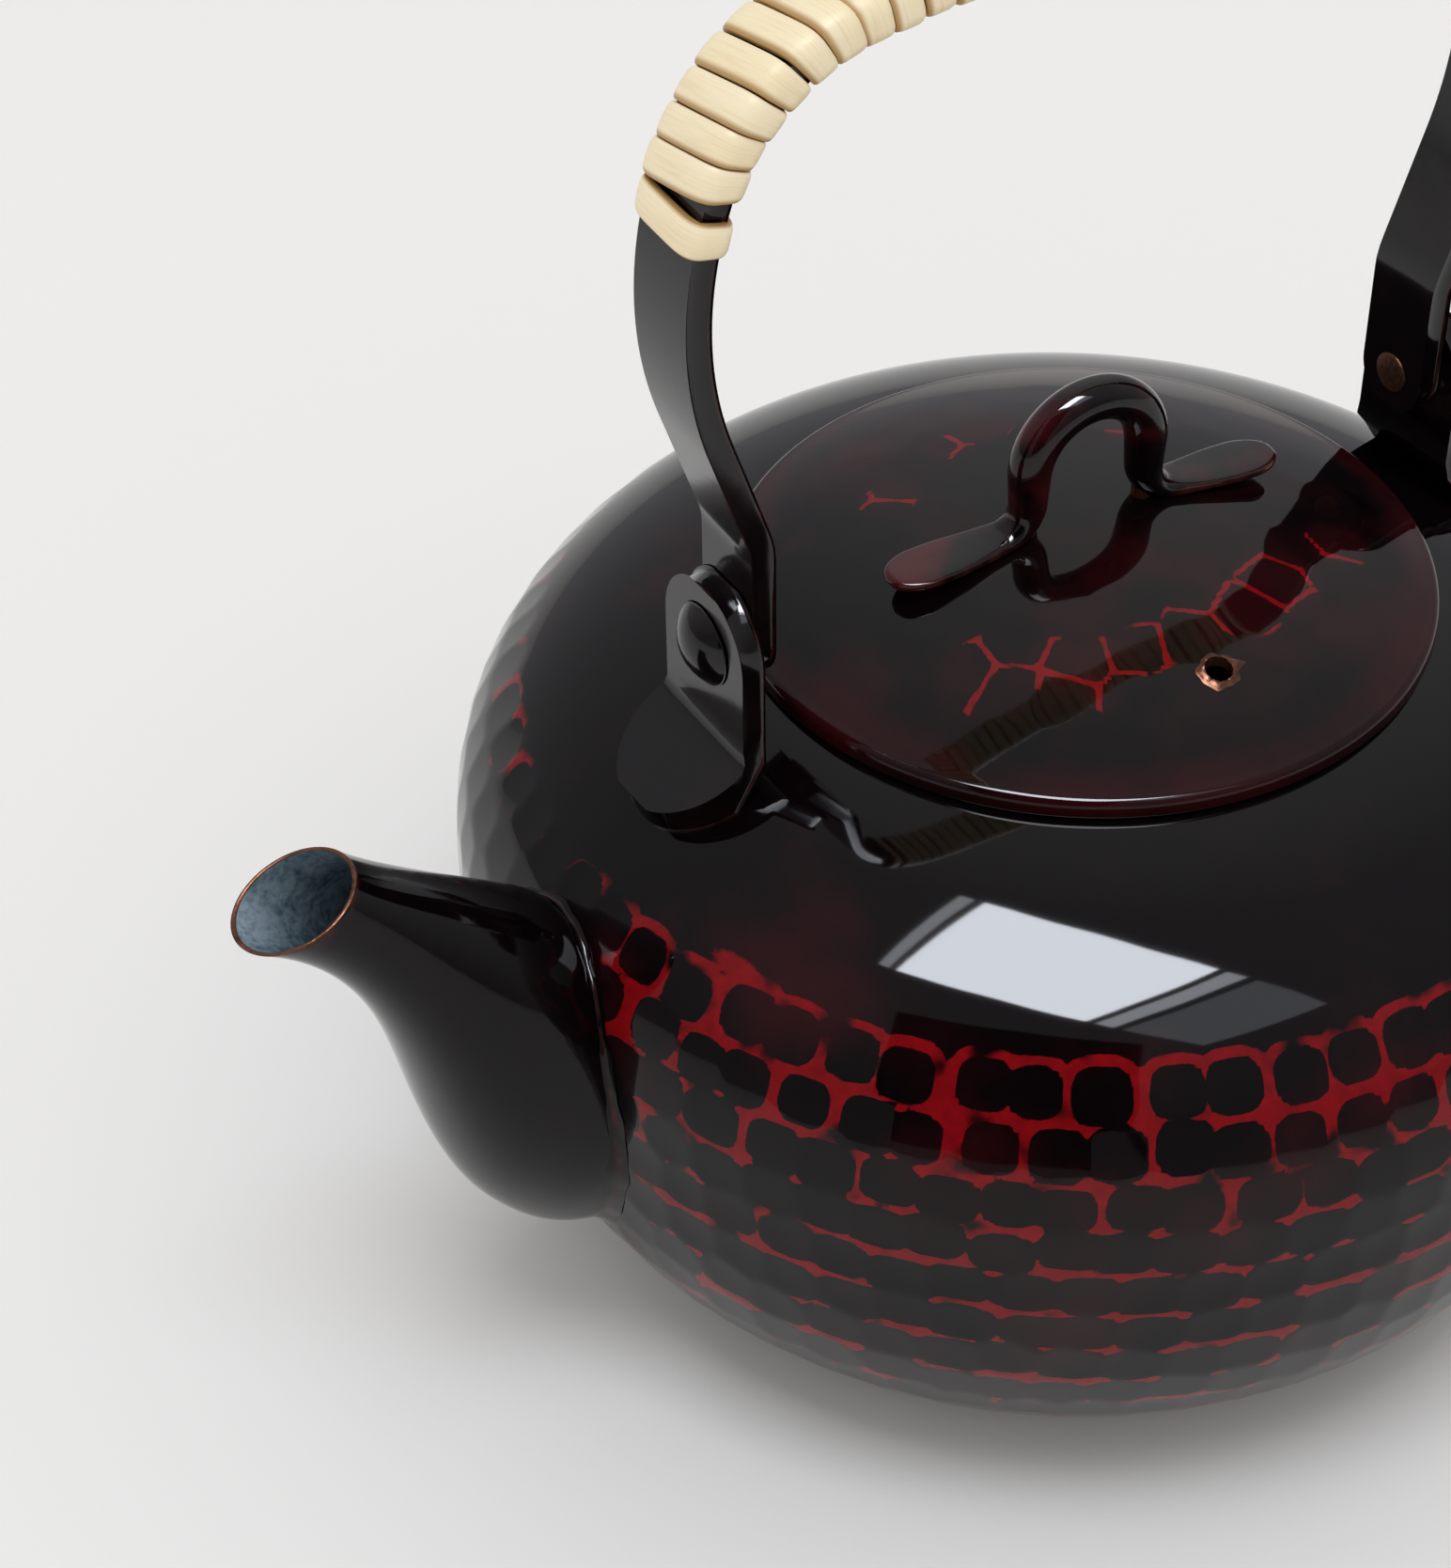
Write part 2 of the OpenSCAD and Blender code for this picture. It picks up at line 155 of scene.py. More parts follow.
def scaled(material, value, start, end, low=0.0, high=1.0, curve="SMOOTHSTEP"):
    """A value carried from the range start to end to the range low to high."""
    inputs = {"Value": value, "From Min": start, "From Max": end, "To Min": low, "To Max": high}
    return add_node(material, "ShaderNodeMapRange", inputs, interpolation_type=curve).outputs["Result"]


def noise(material, place, size, detail, **others):
    """Noise whose patches are about that many millimetres wide."""
    inputs = {"Vector": place, "Scale": 1 / (size * MM), "Detail": detail, **others}
    return add_node(material, "ShaderNodeTexNoise", inputs).outputs["Fac"]


def stored(material, name):
    """The number that each point of a piece carries under that name."""
    return add_node(material, "ShaderNodeAttribute", attribute_name=name).outputs["Fac"]


def own_place(material):
    """Places in the piece's own frame, so that a pattern moves with the piece."""
    return add_node(material, "ShaderNodeTexCoord").outputs["Object"]


def connect(material, shader, colour, height, strength, depth):
    """Gives the shader its colour and a bump of that depth in millimetres."""
    inputs = {"Height": height, "Strength": strength, "Distance": depth * MM}
    bump = add_node(material, "ShaderNodeBump", inputs)
    material.node_tree.links.new(colour, shader.inputs["Base Color"])
    material.node_tree.links.new(bump.outputs["Normal"], shader.inputs["Normal"])


print("white is", linear("#ffffff"))

# %% [markdown]
# ## Light
#
# Black lacquer is a mirror, so what it reflects matters more than how much light falls on it. A studio does
# this with one bright soft source above the front, a pale room above and behind the kettle and a dim one
# beside the camera. Area lights would do, but the panes are slanted quadrilaterals, so each is a glowing
# panel of its own, far away, placed by the directions of its corners. The room is the world: its brightness
# follows the direction, so it is a gradient that any view can share.

# %% Colour management and the room
scene.view_settings.view_transform = "Standard"
world = bpy.data.worlds.new("room")
scene.world = world
world.use_nodes = True
background = world.node_tree.nodes["Background"]
FAR_ABOVE = Vector((0.40, 0.45, 0.80)).normalized()
ROOM_LEVELS = ((-1.0, 0.34), (-0.2, 0.24), (0.3, 0.48), (0.8, 0.56), (1.0, 1.05))
ROOM_TINT = (0.97, 0.98, 1.03)

direction = add_node(world, "ShaderNodeTexCoord")
facing = add_node(world, "ShaderNodeVectorMath",
                  {0: direction.outputs["Generated"], 1: FAR_ABOVE}, operation="DOT_PRODUCT")
share = scaled(world, facing.outputs["Value"], -1.0, 1.0, curve="LINEAR")
levels = add_node(world, "ShaderNodeValToRGB", {"Fac": share})
stops = levels.color_ramp.elements
for index, (side, level) in enumerate(ROOM_LEVELS):
    place = (side + 1) / 2
    stop = stops[0] if index == 0 else stops.new(place)
    stop.position = place
    stop.color = (*[level * part for part in ROOM_TINT], 1.0)
stops.remove(stops[len(stops) - 1])
# Matt surfaces are lit by an even room, as by white walls on every side. Only the gloss shows the gradient.
MATT_ROOM = (0.70, 0.70, 0.70, 1.0)
ray = add_node(world, "ShaderNodeLightPath")
room = mixed(world, ray.outputs["Is Glossy Ray"], MATT_ROOM, levels.outputs["Color"])
world.node_tree.links.new(room, background.inputs["Color"])
print("room levels:", ROOM_LEVELS)

# %% The glowing panes
PANE_DISTANCE = 5.0
PANE_COLOUR = (0.88, 0.92, 1.0, 1.0)


def studio_panel(name, corners, material):
    """One flat face that belongs to the studio and not to the kettle."""
    mesh = bpy.data.meshes.new(name)
    mesh.from_pydata(corners, [], [range(len(corners))])
    mesh.materials.append(material)
    panel = bpy.data.objects.new(name, mesh)
    scene.collection.objects.link(panel)
    return panel


def glowing_pane(name, corners, light, glare):
    """A panel seen from the origin with its corners in those directions. It lights matt surfaces with one
    strength and is mirrored with another."""
    material = bpy.data.materials.new(name)
    material.use_nodes = True
    nodes = material.node_tree.nodes
    nodes.remove(nodes["Principled BSDF"])
    path = add_node(material, "ShaderNodeLightPath")
    strength = scaled(material, path.outputs["Is Glossy Ray"], 0.0, 1.0, light, glare, "LINEAR")
    glow = add_node(material, "ShaderNodeEmission", {"Color": PANE_COLOUR, "Strength": strength})
    material.node_tree.links.new(glow.outputs["Emission"], nodes["Material Output"].inputs["Surface"])
    studio_panel(name, [Vector(c).normalized() * PANE_DISTANCE for c in corners], material)


def between(a, b, share):
    """The direction at that share of the way from a to b. A share outside 0 to 1 goes past the end."""
    return [p + (q - p) * share for p, q in zip(a, b)]


# The corners of the main pane, as directions from the kettle.
PANE_FAR = (-0.088, 0.085, 0.993)
PANE_RIGHT = (0.143, -0.351, 0.925)
PANE_NEAR = (-0.224, -0.416, 0.881)
PANE_LEFT = (-0.436, -0.028, 0.899)
PANE_LIGHT = 6.4
PANE_GLARE = 42.0
glowing_pane("main_pane", (PANE_FAR, PANE_RIGHT, PANE_NEAR, PANE_LEFT), PANE_LIGHT, PANE_GLARE)


def beside(start, end):
    """A dimmer strip right of the main pane, from one share to another of the pane's length."""
    far = [between(PANE_FAR, PANE_RIGHT, s) for s in (start, end)]
    near = [between(PANE_LEFT, PANE_NEAR, s) for s in (start, end)]
    return far[0], far[1], near[1], near[0]


glowing_pane("right_reveal", beside(1.05, 1.16), 3.0, 12.0)
glowing_pane("right_pane", beside(1.22, 1.80), 0.8, 3.0)
glowing_pane("left_reveal", beside(-0.10, -0.04), 2.0, 10.0)

# %% [markdown]
# The gloss also mirrors the side of the room where the camera stands, which is darker than the rest. A
# plain rectangular card of black felt gives that dark patch under the pane's reflection, where the red looks
# deepest.

# %% The black card
CARD_DISTANCE = 3.0
CARD_FACING = Vector((-0.6, -0.6, 0.5)).normalized()
CARD_WIDTH = 2.0
CARD_HEIGHT = 3.0
card_right = Vector((0, 0, 1)).cross(CARD_FACING).normalized() * (CARD_WIDTH / 2)
card_up = CARD_FACING.cross(card_right).normalized() * (CARD_HEIGHT / 2)
card_middle = CARD_FACING * CARD_DISTANCE
card_corners = [card_middle + card_right * i + card_up * j for i, j in ((-1, -1), (1, -1), (1, 1), (-1, 1))]
felt, _ = new_material("black_felt", Base_Color=linear("#070707"), Roughness=0.95)
card = studio_panel("black_card", card_corners, felt)
card.visible_diffuse = False
card.visible_shadow = False
print("card of", CARD_WIDTH, "by", CARD_HEIGHT, "m")

# %% [markdown]
# ## Floor
#
# The kettle stands on a plain pale slab. It is a large disc, so that no view sees its edge close by, with a
# matt finish that keeps only a soft sheen.

# %% Lay the floor
FLOOR_RADIUS = 9.0
FLOOR_SIDES = 96
pale_stone, _ = new_material("honed_pale_stone", Base_Color=linear("#f2efeb"), Roughness=0.55)
floor_turns = np.linspace(0, 2 * math.pi, FLOOR_SIDES, endpoint=False)
floor_ring = [(FLOOR_RADIUS * math.cos(a), FLOOR_RADIUS * math.sin(a), 0) for a in floor_turns]
studio_panel("floor", floor_ring, pale_stone)
print("floor radius", FLOOR_RADIUS, "m")

# %% [markdown]
# ## Helpers for meshes
#
# Most pieces of a kettle are rings of points joined by quads: a lathe turns one outline, and a sweep carries
# a section along a line. Blender's Spin tool and curve bevels can do both, but they hide where each point
# goes, and here every point also gets a value that its finish reads. So the points are plain arrays.

# %% Points to pieces
MERGE_DISTANCE = 0.002
CREASE_ANGLE = math.radians(38)


def grid_faces(rows, sides, closed=False):
    """Quads between rows of points, each row a ring. A closed grid also joins the last row to the first."""
    last = rows if closed else rows - 1
    faces = []
    for row in range(last):
        a = row * sides
        b = ((row + 1) % rows) * sides
        for i in range(sides):
            j = (i + 1) % sides
            faces.append((a + i, a + j, b + j, b + i))
    return faces


def new_object(name, points, faces):
    """An object from points in millimetres. Doubled points are merged and the faces turned outwards."""
    mesh = bpy.data.meshes.new(name)
    mesh.from_pydata([tuple(p) for p in np.asarray(points) * MM], [], faces)
    work = bmesh.new()
    work.from_mesh(mesh)
    bmesh.ops.remove_doubles(work, verts=work.verts, dist=MERGE_DISTANCE * MM)
    bmesh.ops.recalc_face_normals(work, faces=work.faces)
    work.to_mesh(mesh)
    work.free()
    piece = bpy.data.objects.new(name, mesh)
    scene.collection.objects.link(piece)
    return piece


def points_of(piece):
    """A piece's points in millimetres, one row each."""
    flat = np.zeros(len(piece.data.vertices) * 3, np.float32)
    piece.data.vertices.foreach_get("co", flat)
    return flat.reshape(-1, 3).astype(float) / MM


def move_points(piece, points):
    """Puts a piece's points at new places, in millimetres."""
    piece.data.vertices.foreach_set("co", (points * MM).astype(np.float32).ravel())
    piece.data.update()


def store(piece, name, values):
    """Gives each point of a piece a number, which its material reads by that name."""
    attribute = piece.data.attributes.new(name, "FLOAT", "POINT")
    attribute.data.foreach_set("value", np.asarray(values, np.float32))


def values_near(piece, points, values):
    """For each point of the piece, the value that goes with the nearest of those points."""
    return values[[np.argmin(((points - p) ** 2).sum(1)) for p in points_of(piece)]]


def face_centres(piece):
    """The middle of each face of a piece, in millimetres."""
    flat = np.zeros(len(piece.data.polygons) * 3, np.float32)
    piece.data.polygons.foreach_get("center", flat)
    return flat.reshape(-1, 3).astype(float) / MM


def set_finishes(piece, numbers):
    """Gives each face of a piece the number of its material in the piece's list."""
    piece.data.polygons.foreach_set("material_index", np.asarray(numbers, np.int32))


def cut(piece, tool, operation="DIFFERENCE"):
    """Cuts the tool out of the piece, or joins it on, and removes the tool."""
    step = piece.modifiers.new("cut", "BOOLEAN")
    step.operation = operation
    step.solver = "MANIFOLD"
    step.object = tool
    bpy.context.view_layer.update()
    shape = piece.evaluated_get(bpy.context.evaluated_depsgraph_get())
    mesh = bpy.data.meshes.new_from_object(shape)
    piece.modifiers.clear()
    piece.data = mesh
    bpy.data.objects.remove(tool)


def finish_piece(piece, body, nodes, materials):
    """Dresses a piece, shades it, hangs it on the body that it rides on and hides the nodes that it stands
    for.
    """
    piece.data.materials.clear()
    for material in materials:
        piece.data.materials.append(material)
    piece.data.shade_smooth()
    piece.data.set_sharp_from_angle(angle=CREASE_ANGLE)
    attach(piece, body)
    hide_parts(*nodes)
    print(piece.name, len(piece.data.vertices), "points on", body)


def lathe(outline, sides):
    """Points and faces of an outline turned about Z. Ends of the outline on the axis close it."""
    outline = np.asarray(outline, float)
    angles = np.linspace(0, 2 * math.pi, sides, endpoint=False)
    points = np.zeros((len(outline), sides, 3))
    points[:, :, 0] = outline[:, :1] * np.cos(angles)
    points[:, :, 1] = outline[:, :1] * np.sin(angles)
    points[:, :, 2] = outline[:, 1:2]
    return points.reshape(-1, 3), grid_faces(len(outline), sides)


def rod(radius, low, high, sides):
    """Points and faces of a plain round rod along Z."""
    return lathe([(0, low), (radius, low), (radius, high), (0, high)], sides)


def unit(vectors):
    """The same vectors, one in each row, with length 1."""
    return vectors / np.linalg.norm(vectors, axis=1, keepdims=True)


def signed_power(values, power):
    """A power that keeps the sign, as the arcs of a superellipse need."""
    return np.sign(values) * np.abs(values) ** power


def distances(line):
    """How far along a line each of its points is."""
    return np.concatenate([[0], np.cumsum(np.linalg.norm(np.diff(line, axis=0), axis=1))])


def resample(line, step):
    """The same line with points about one step apart, both ends kept."""
    along = distances(line)
    count = max(2, int(round(along[-1] / step)) + 1)
    places = np.linspace(0, along[-1], count)
    return np.stack([np.interp(places, along, line[:, k]) for k in range(line.shape[1])], axis=1)


def smoothstep(values, low, high):
    """0 below low, 1 above high, and a smooth step between."""
    t = np.clip((np.asarray(values, float) - low) / (high - low), 0, 1)
    return t * t * (3 - 2 * t)


print("a ring of 3 rows of 4:", len(grid_faces(3, 4)), "faces")

# %% [markdown]
# ## The lacquers
#
# The finish is a clear, hard lacquer (IOR about 1.5) over two colours: red under black. Where a ridge was
# rubbed through, the red shows. Two values at each point say where: `net` is high on the ridges between the
# hammer's facets, and `reveal` says how much of the black has gone there. Noise breaks both up, as the
# rubbing did. A third value, `smoke`, says where the black is so thin that the red glows through it. The
# gloss is high, so the roughness is only a few hundredths, and a very shallow bump gives the slight waviness
# of a brushed coat.

# %% Black over red
BLACK = linear("#080405")
SMOKE = linear("#2a080b")
RED = linear("#8a0c13")
DEEP_RED = linear("#58070b")


GLOSS_LEVEL = 0.21


def rubbed_lacquer(name, raggedness, line_from, line_to):
    """Black lacquer rubbed through to red where the piece's net and reveal values are high."""
    material, shader = new_material(name, Roughness=0.045, IOR=1.5, Specular_IOR_Level=GLOSS_LEVEL)
    place = own_place(material)
    ragged = noise(material, place, 2.2, 3.0, Roughness=0.6)
    patchy = noise(material, place, 9, 2.5)
    cloudy = noise(material, place, 22, 5.0)
    wavy = noise(material, place, 14, 1.0)
    ragged_edge = calculated(material, "MULTIPLY_ADD", ragged, raggedness, stored(material, "net"))
    line = scaled(material, ragged_edge, line_from, line_to)
    worn = calculated(material, "MULTIPLY_ADD", patchy, 1.3, stored(material, "reveal"))
    worn_through = scaled(material, worn, 1.05, 1.20)
    red_share = calculated(material, "MULTIPLY", line, worn_through)
    smoky = calculated(material, "MULTIPLY_ADD", stored(material, "smoke"), 0.4, cloudy)
    dark = mixed(material, scaled(material, smoky, 0.58, 1.0), BLACK, SMOKE)
    reds = mixed(material, ragged, DEEP_RED, RED)
    connect(material, shader, mixed(material, red_share, dark, reds), wavy, 0.5, 0.06)
    return material


kettle_lacquer = rubbed_lacquer("black_lacquer_rubbed_to_red", 0.40, 0.62, 0.78)
lid_lacquer = rubbed_lacquer("lid_lacquer_rubbed_to_red", 0.62, 0.74, 0.98)
print("lacquers:", kettle_lacquer.name, lid_lacquer.name)

# %% [markdown]
# The spout, the lugs, the bail and the knob are lacquered black with no red pattern. Their arrises are where
# hands and cloths rub most, so the coat thins there and a brown-red line shows. A value at each point,
# `edge`, says where the arrises are.

# %% Plain black lacquer with thin arrises
ARRIS = linear("#3d1a16")


def plain_lacquer(name, smoke, roughness, gloss_level):
    """Black lacquer whose coat is thinner where the piece's edge value is high."""
    material, shader = new_material(name, Roughness=roughness, IOR=1.5, Specular_IOR_Level=gloss_level)
    place = own_place(material)
    cloudy = noise(material, place, 12, 4.0)
    thin = calculated(material, "MULTIPLY", stored(material, "edge"), noise(material, place, 3, 4.0))
    dark = mixed(material, scaled(material, cloudy, 0.42, 0.75), BLACK, linear(smoke))
    colour = mixed(material, scaled(material, thin, 0.25, 0.70), dark, ARRIS)
    connect(material, shader, colour, cloudy, 0.6, 0.08)
    return material


spout_lacquer = plain_lacquer("spout_black_lacquer", "#0c0607", 0.06, GLOSS_LEVEL)
strap_lacquer = plain_lacquer("strap_black_lacquer", "#14090a", 0.11, 0.38)
knob_lacquer = plain_lacquer("knob_black_lacquer", "#481115", 0.06, 0.33)
print("lacquers:", spout_lacquer.name, strap_lacquer.name, knob_lacquer.name)

# %% [markdown]
# ## The metals
#
# Inside, the copper is tinned by wiping molten tin over it, which leaves a grey, slightly streaky metal with
# small specks. The spout's lip, the steam hole's burr and the inner ends of the rivets are bare copper that
# has browned.

# %% Tin and bare copper
GLOSS_SPREAD = 0.08


def worn_metal(name, light, dark, grain, roughness, relief, metallic):
    """A metal that varies between two colours, with specks of that grain in millimetres."""
    material, shader = new_material(name, Metallic=metallic)
    place = own_place(material)
    wiped = noise(material, place, grain * 6, 5.0, Distortion=0.6)
    specks = noise(material, place, grain, 2.0)
    worn = calculated(material, "MULTIPLY_ADD", specks, 0.6, wiped)
    share = scaled(material, worn, 0.60, 1.0, curve="LINEAR")
    gloss = scaled(material, worn, 0.5, 1.1, roughness + GLOSS_SPREAD, roughness - GLOSS_SPREAD, "LINEAR")
    material.node_tree.links.new(gloss, shader.inputs["Roughness"])
    connect(material, shader, mixed(material, share, linear(dark), linear(light)), worn, 0.5, relief)
    return material


wiped_tin = worn_metal("wiped_tin", "#b3c6d0", "#566d7b", 0.9, 0.42, 0.10, 0.65)
bare_copper = worn_metal("browned_copper", "#7c5340", "#4a2f22", 0.7, 0.44, 0.06, 0.9)
print("metals:", wiped_tin.name, bare_copper.name)

# %% [markdown]
# ## The body
#
# The body is one raised shell. Its outline is two superellipse arcs, one above the widest ring and one
# below, and the sheet is 1.2 mm thick. The hammer's facets are real relief: each blow pressed a shallow bowl
# in its row, and neighbouring bowls meet in a ridge. A bump map could fake them, but the facets show on the
# outline too. The rows follow the arc of the outline, about 8 mm apart, and each row has as many blows as
# fit round it.

# %% The body's outline
body_high = box_mm("body_shell")[1]
BODY_R = body_high.x
BODY_TOP = body_high.z
BELLY_Z = 60.0
SHOULDER_RISE, SHOULDER_POWER = 47.5, 2.4
LOWER_DEPTH, LOWER_POWER = 67.6, 2.9
SHEET = 1.2
NECK_R = 45.4
NECK_DEPTH = 6.0


def shoulder(angle, inset=0.0):
    """Points on the shoulder, as radius and height, for angles from 0 at the widest ring."""
    radius = (BODY_R - inset) * np.cos(angle) ** (2 / SHOULDER_POWER)
    height = BELLY_Z + (SHOULDER_RISE - inset) * np.sin(angle) ** (2 / SHOULDER_POWER)
    return np.stack([radius, height], axis=-1)


def lower(angle, inset=0.0):
    """Points below the widest ring, as radius and height, for angles from 0 at the widest ring."""
    radius = (BODY_R - inset) * np.cos(angle) ** (2 / LOWER_POWER)
    height = BELLY_Z - (LOWER_DEPTH - inset) * np.sin(angle) ** (2 / LOWER_POWER)
    return np.stack([radius, height], axis=-1)


def shoulder_end(radius, inset=0.0):
    """The angle at which the shoulder has that radius."""
    return math.acos((radius / (BODY_R - inset)) ** (SHOULDER_POWER / 2))


def lower_end(height, inset=0.0):
    """The angle at which the lower curve has that height."""
    return math.asin(((BELLY_Z - height) / (LOWER_DEPTH - inset)) ** (LOWER_POWER / 2))


def outside_radius(height):
    """The body's outside radius at a height, or at an array of heights."""
    up = np.clip((height - BELLY_Z) / SHOULDER_RISE, 0, 1) ** SHOULDER_POWER
    down = np.clip((BELLY_Z - height) / LOWER_DEPTH, 0, 1) ** LOWER_POWER
    above = (1 - up) ** (1 / SHOULDER_POWER)
    below = (1 - down) ** (1 / LOWER_POWER)
    return BODY_R * np.where(height > BELLY_Z, above, below)


def arc(centre, radius, start, end, count):
    """Points on an arc, as radius and height, from one angle in degrees to another."""
    angles = np.radians(np.linspace(start, end, count))
    return np.stack([centre[0] + radius * np.cos(angles), centre[1] + radius * np.sin(angles)], axis=-1)


BASE_ROUND = 2.0
HOLLOW = 0.9
FINE = 0.85
outside = np.concatenate([
    lower(np.linspace(lower_end(BASE_ROUND * 0.4), 0.0, 200)),
    shoulder(np.linspace(0.0, shoulder_end(NECK_R + 0.7), 200))[1:],
])
outside = resample(outside, FINE)
base_edge = outside[0, 0]
underside = [(0, HOLLOW), (base_edge * 0.5, HOLLOW), (base_edge - 8, 0.7), (base_edge - 4, 0.15)]
underside += [(base_edge - 2, 0.0)]
neck_low = BODY_TOP - NECK_DEPTH
neck_fold = arc((NECK_R + 0.9, BODY_TOP - 0.9), 0.9, 80, 180, 6)
inside = np.concatenate([
    shoulder(np.linspace(shoulder_end(NECK_R + SHEET, SHEET), 0.0, 30), SHEET),
    lower(np.linspace(0.0, lower_end(SHEET, SHEET), 30), SHEET)[1:],
])
body_outline = np.concatenate([
    underside,
    outside,
    neck_fold,
    [(NECK_R, neck_low), (NECK_R + SHEET, neck_low)],
    inside,
    [(inside[-1, 0] * 0.5, SHEET), (0, SHEET)],
])
print("outline has", len(body_outline), "points, base radius", round(base_edge, 1))

# %% Where each hammer blow fell
ROW_PITCH = 8.0
CELL_WIDTH = 8.4
BAND_TOP = 87.0
BLOW_ROWS = 10
MOST_IN_ROW = 80
BLOW_RADIUS = 62.0
BLOW_DEPTH = 0.17
CORNER_POWER = 3.0
blows = np.random.default_rng(7)
descent = lower(np.linspace(0.0, lower_end(0.0), 300))
ascent = shoulder(np.linspace(shoulder_end(NECK_R), 0.0, 300))
fall = np.concatenate([ascent, descent[1:]])
fall_length = distances(fall)
fall_length -= np.interp(-BAND_TOP, -fall[:, 1], fall_length)
row_mid = (np.arange(BLOW_ROWS) + 0.5) * ROW_PITCH
row_radius = np.interp(row_mid, fall_length, fall[:, 0])
row_count = np.round(2 * math.pi * row_radius / CELL_WIDTH).astype(int)
every_blow = (BLOW_ROWS, MOST_IN_ROW)
blow_turn = blows.uniform(-0.15, 0.15, every_blow) + blows.uniform(0, 1, (BLOW_ROWS, 1))
blow_slip = blows.normal(0, 0.40, every_blow)
blow_size = blows.uniform(0.97, 1.10, every_blow)
# Lower down, the blows overlap sideways and only wavy lines are left between the rows.
row_stretch = np.array([0.98, 0.98, 1.08, 1.16, 1.24, 1.28, 1.28, 1.24, 1.2, 1.2])
print("blows in each row:", row_count.tolist())

# %% What the hammer and the cloth left
# All directions are in degrees round from +X. The side between 112 and 182 was hardly rubbed through.
SIDE_DEGREES = (0, 90, 112, 182, 194, 204, 360)
SIDE_RUBBING = (0.0, -0.04, -0.26, -0.26, -0.06, 0.0, 0.0)
# One long smear, where the cloth went over the edge of the hammering beside the spout, and one worn patch.
SMEAR_AT, SMEAR_SPREAD = 200.0, 4.0
SIDE_PATCH_AT, SIDE_PATCH_SPREAD = 155.0, 7.0
# How far down the band, in millimetres, the cloth wore through how much of the black.
WORN_DOWN = (-4, 0, 14, 20, 60, 76)
WORN_SHARE = (0.34, 0.60, 0.57, 0.58, 0.62, 0.44)


def hammered(points):
    """For points on the body: the depth of the hammer's facets, and the net, reveal and smoke values."""
    turn = np.arctan2(points[:, 1], points[:, 0]) / (2 * math.pi) % 1
    down = np.interp(-points[:, 2], -fall[:, 1], fall_length)
    depth = np.zeros(len(points))
    nearest = np.full(len(points), 9.0)
    for row_step in (-1, 0, 1):
        row = np.floor(down / ROW_PITCH).astype(int) + row_step
        real = (row >= 0) & (row < BLOW_ROWS)
        row = np.clip(row, 0, BLOW_ROWS - 1)
        count = row_count[row]
        first = np.floor(turn * count).astype(int)
        for step in (-2, -1, 0, 1, 2):
            blow = (first + step) % count
            across = turn * count - (blow + 0.5 + blow_turn[row, blow])
            across = (across + count / 2) % count - count / 2
            across = across * 2 * math.pi * row_radius[row] / count
            along = down - row_mid[row] - blow_slip[row, blow]
            far = (across ** 2 + along ** 2) / (2 * BLOW_RADIUS)
            depth = np.where(real, np.maximum(depth, BLOW_DEPTH - far), depth)
            half_w = CELL_WIDTH / 2 * row_stretch[row] * blow_size[row, blow]
            half_h = ROW_PITCH / 2 * blow_size[row, blow]
            edge = np.abs(across / half_w) ** CORNER_POWER + np.abs(along / half_h) ** CORNER_POWER
            nearest = np.where(real, np.minimum(nearest, edge ** (1 / CORNER_POWER)), nearest)
    black_until = np.interp(down, [0, 2.0 * ROW_PITCH, 2.6 * ROW_PITCH], [0.895, 0.895, 0.90])
    net = smoothstep(nearest, black_until - 0.11, black_until + 0.13)
    net *= 1 - smoothstep(nearest, 1.10, 1.38) * (down < 3)
    degrees = turn * 360
    reveal = np.interp(down, WORN_DOWN, WORN_SHARE) + np.interp(degrees, SIDE_DEGREES, SIDE_RUBBING)
    smear = np.exp(-((degrees - SMEAR_AT) / SMEAR_SPREAD) ** 2 - ((down + 1.2) / 2.4) ** 2)
    net = np.maximum(net, 0.75 * smear)
    side_patch = np.exp(-((degrees - SIDE_PATCH_AT) / SIDE_PATCH_SPREAD) ** 2 - ((down - 1) / 6) ** 2)
    reveal += 0.4 * smear + 0.24 * side_patch
    by_smear = 0.25 + 0.65 * np.exp(-((degrees - SMEAR_AT - 8) / 16) ** 2)
    near_edge = np.exp(-((down + 1) / 7) ** 2) * by_smear
    smoke = 0.9 * near_edge + 0.20 * smoothstep(down, 2, 8) + 0.12
    fade_out = 1 - smoothstep(down, BLOW_ROWS * ROW_PITCH - 6, BLOW_ROWS * ROW_PITCH)
    return depth * fade_out, net * fade_out, reveal, smoke


# %% Turn, pierce and hammer the shell
STRAINER_D = 5.0
STRAINER_PITCH = 8.5
STRAINER_ROWS = 5
SPOUT_ROOT_TOP, SPOUT_ROOT_LOW = 80.6, 26.0
root_middle = (SPOUT_ROOT_TOP + SPOUT_ROOT_LOW) / 2
strainer_drop = STRAINER_PITCH * math.sin(math.pi / 3)

body = new_object("kettle_body", *lathe(body_outline, 720))
for row in range(STRAINER_ROWS):
    in_row = 3 if row % 2 == 0 else 2
    for column in range(in_row):
        y = (column - (in_row - 1) / 2) * STRAINER_PITCH
        z = root_middle + (row - (STRAINER_ROWS - 1) / 2) * strainer_drop
        drill_points, drill_faces = rod(STRAINER_D / 2, 0, 12, 32)
        cut(body, new_object("drill", drill_points[:, [2, 1, 0]] + (-BODY_R - 2, y, z), drill_faces))

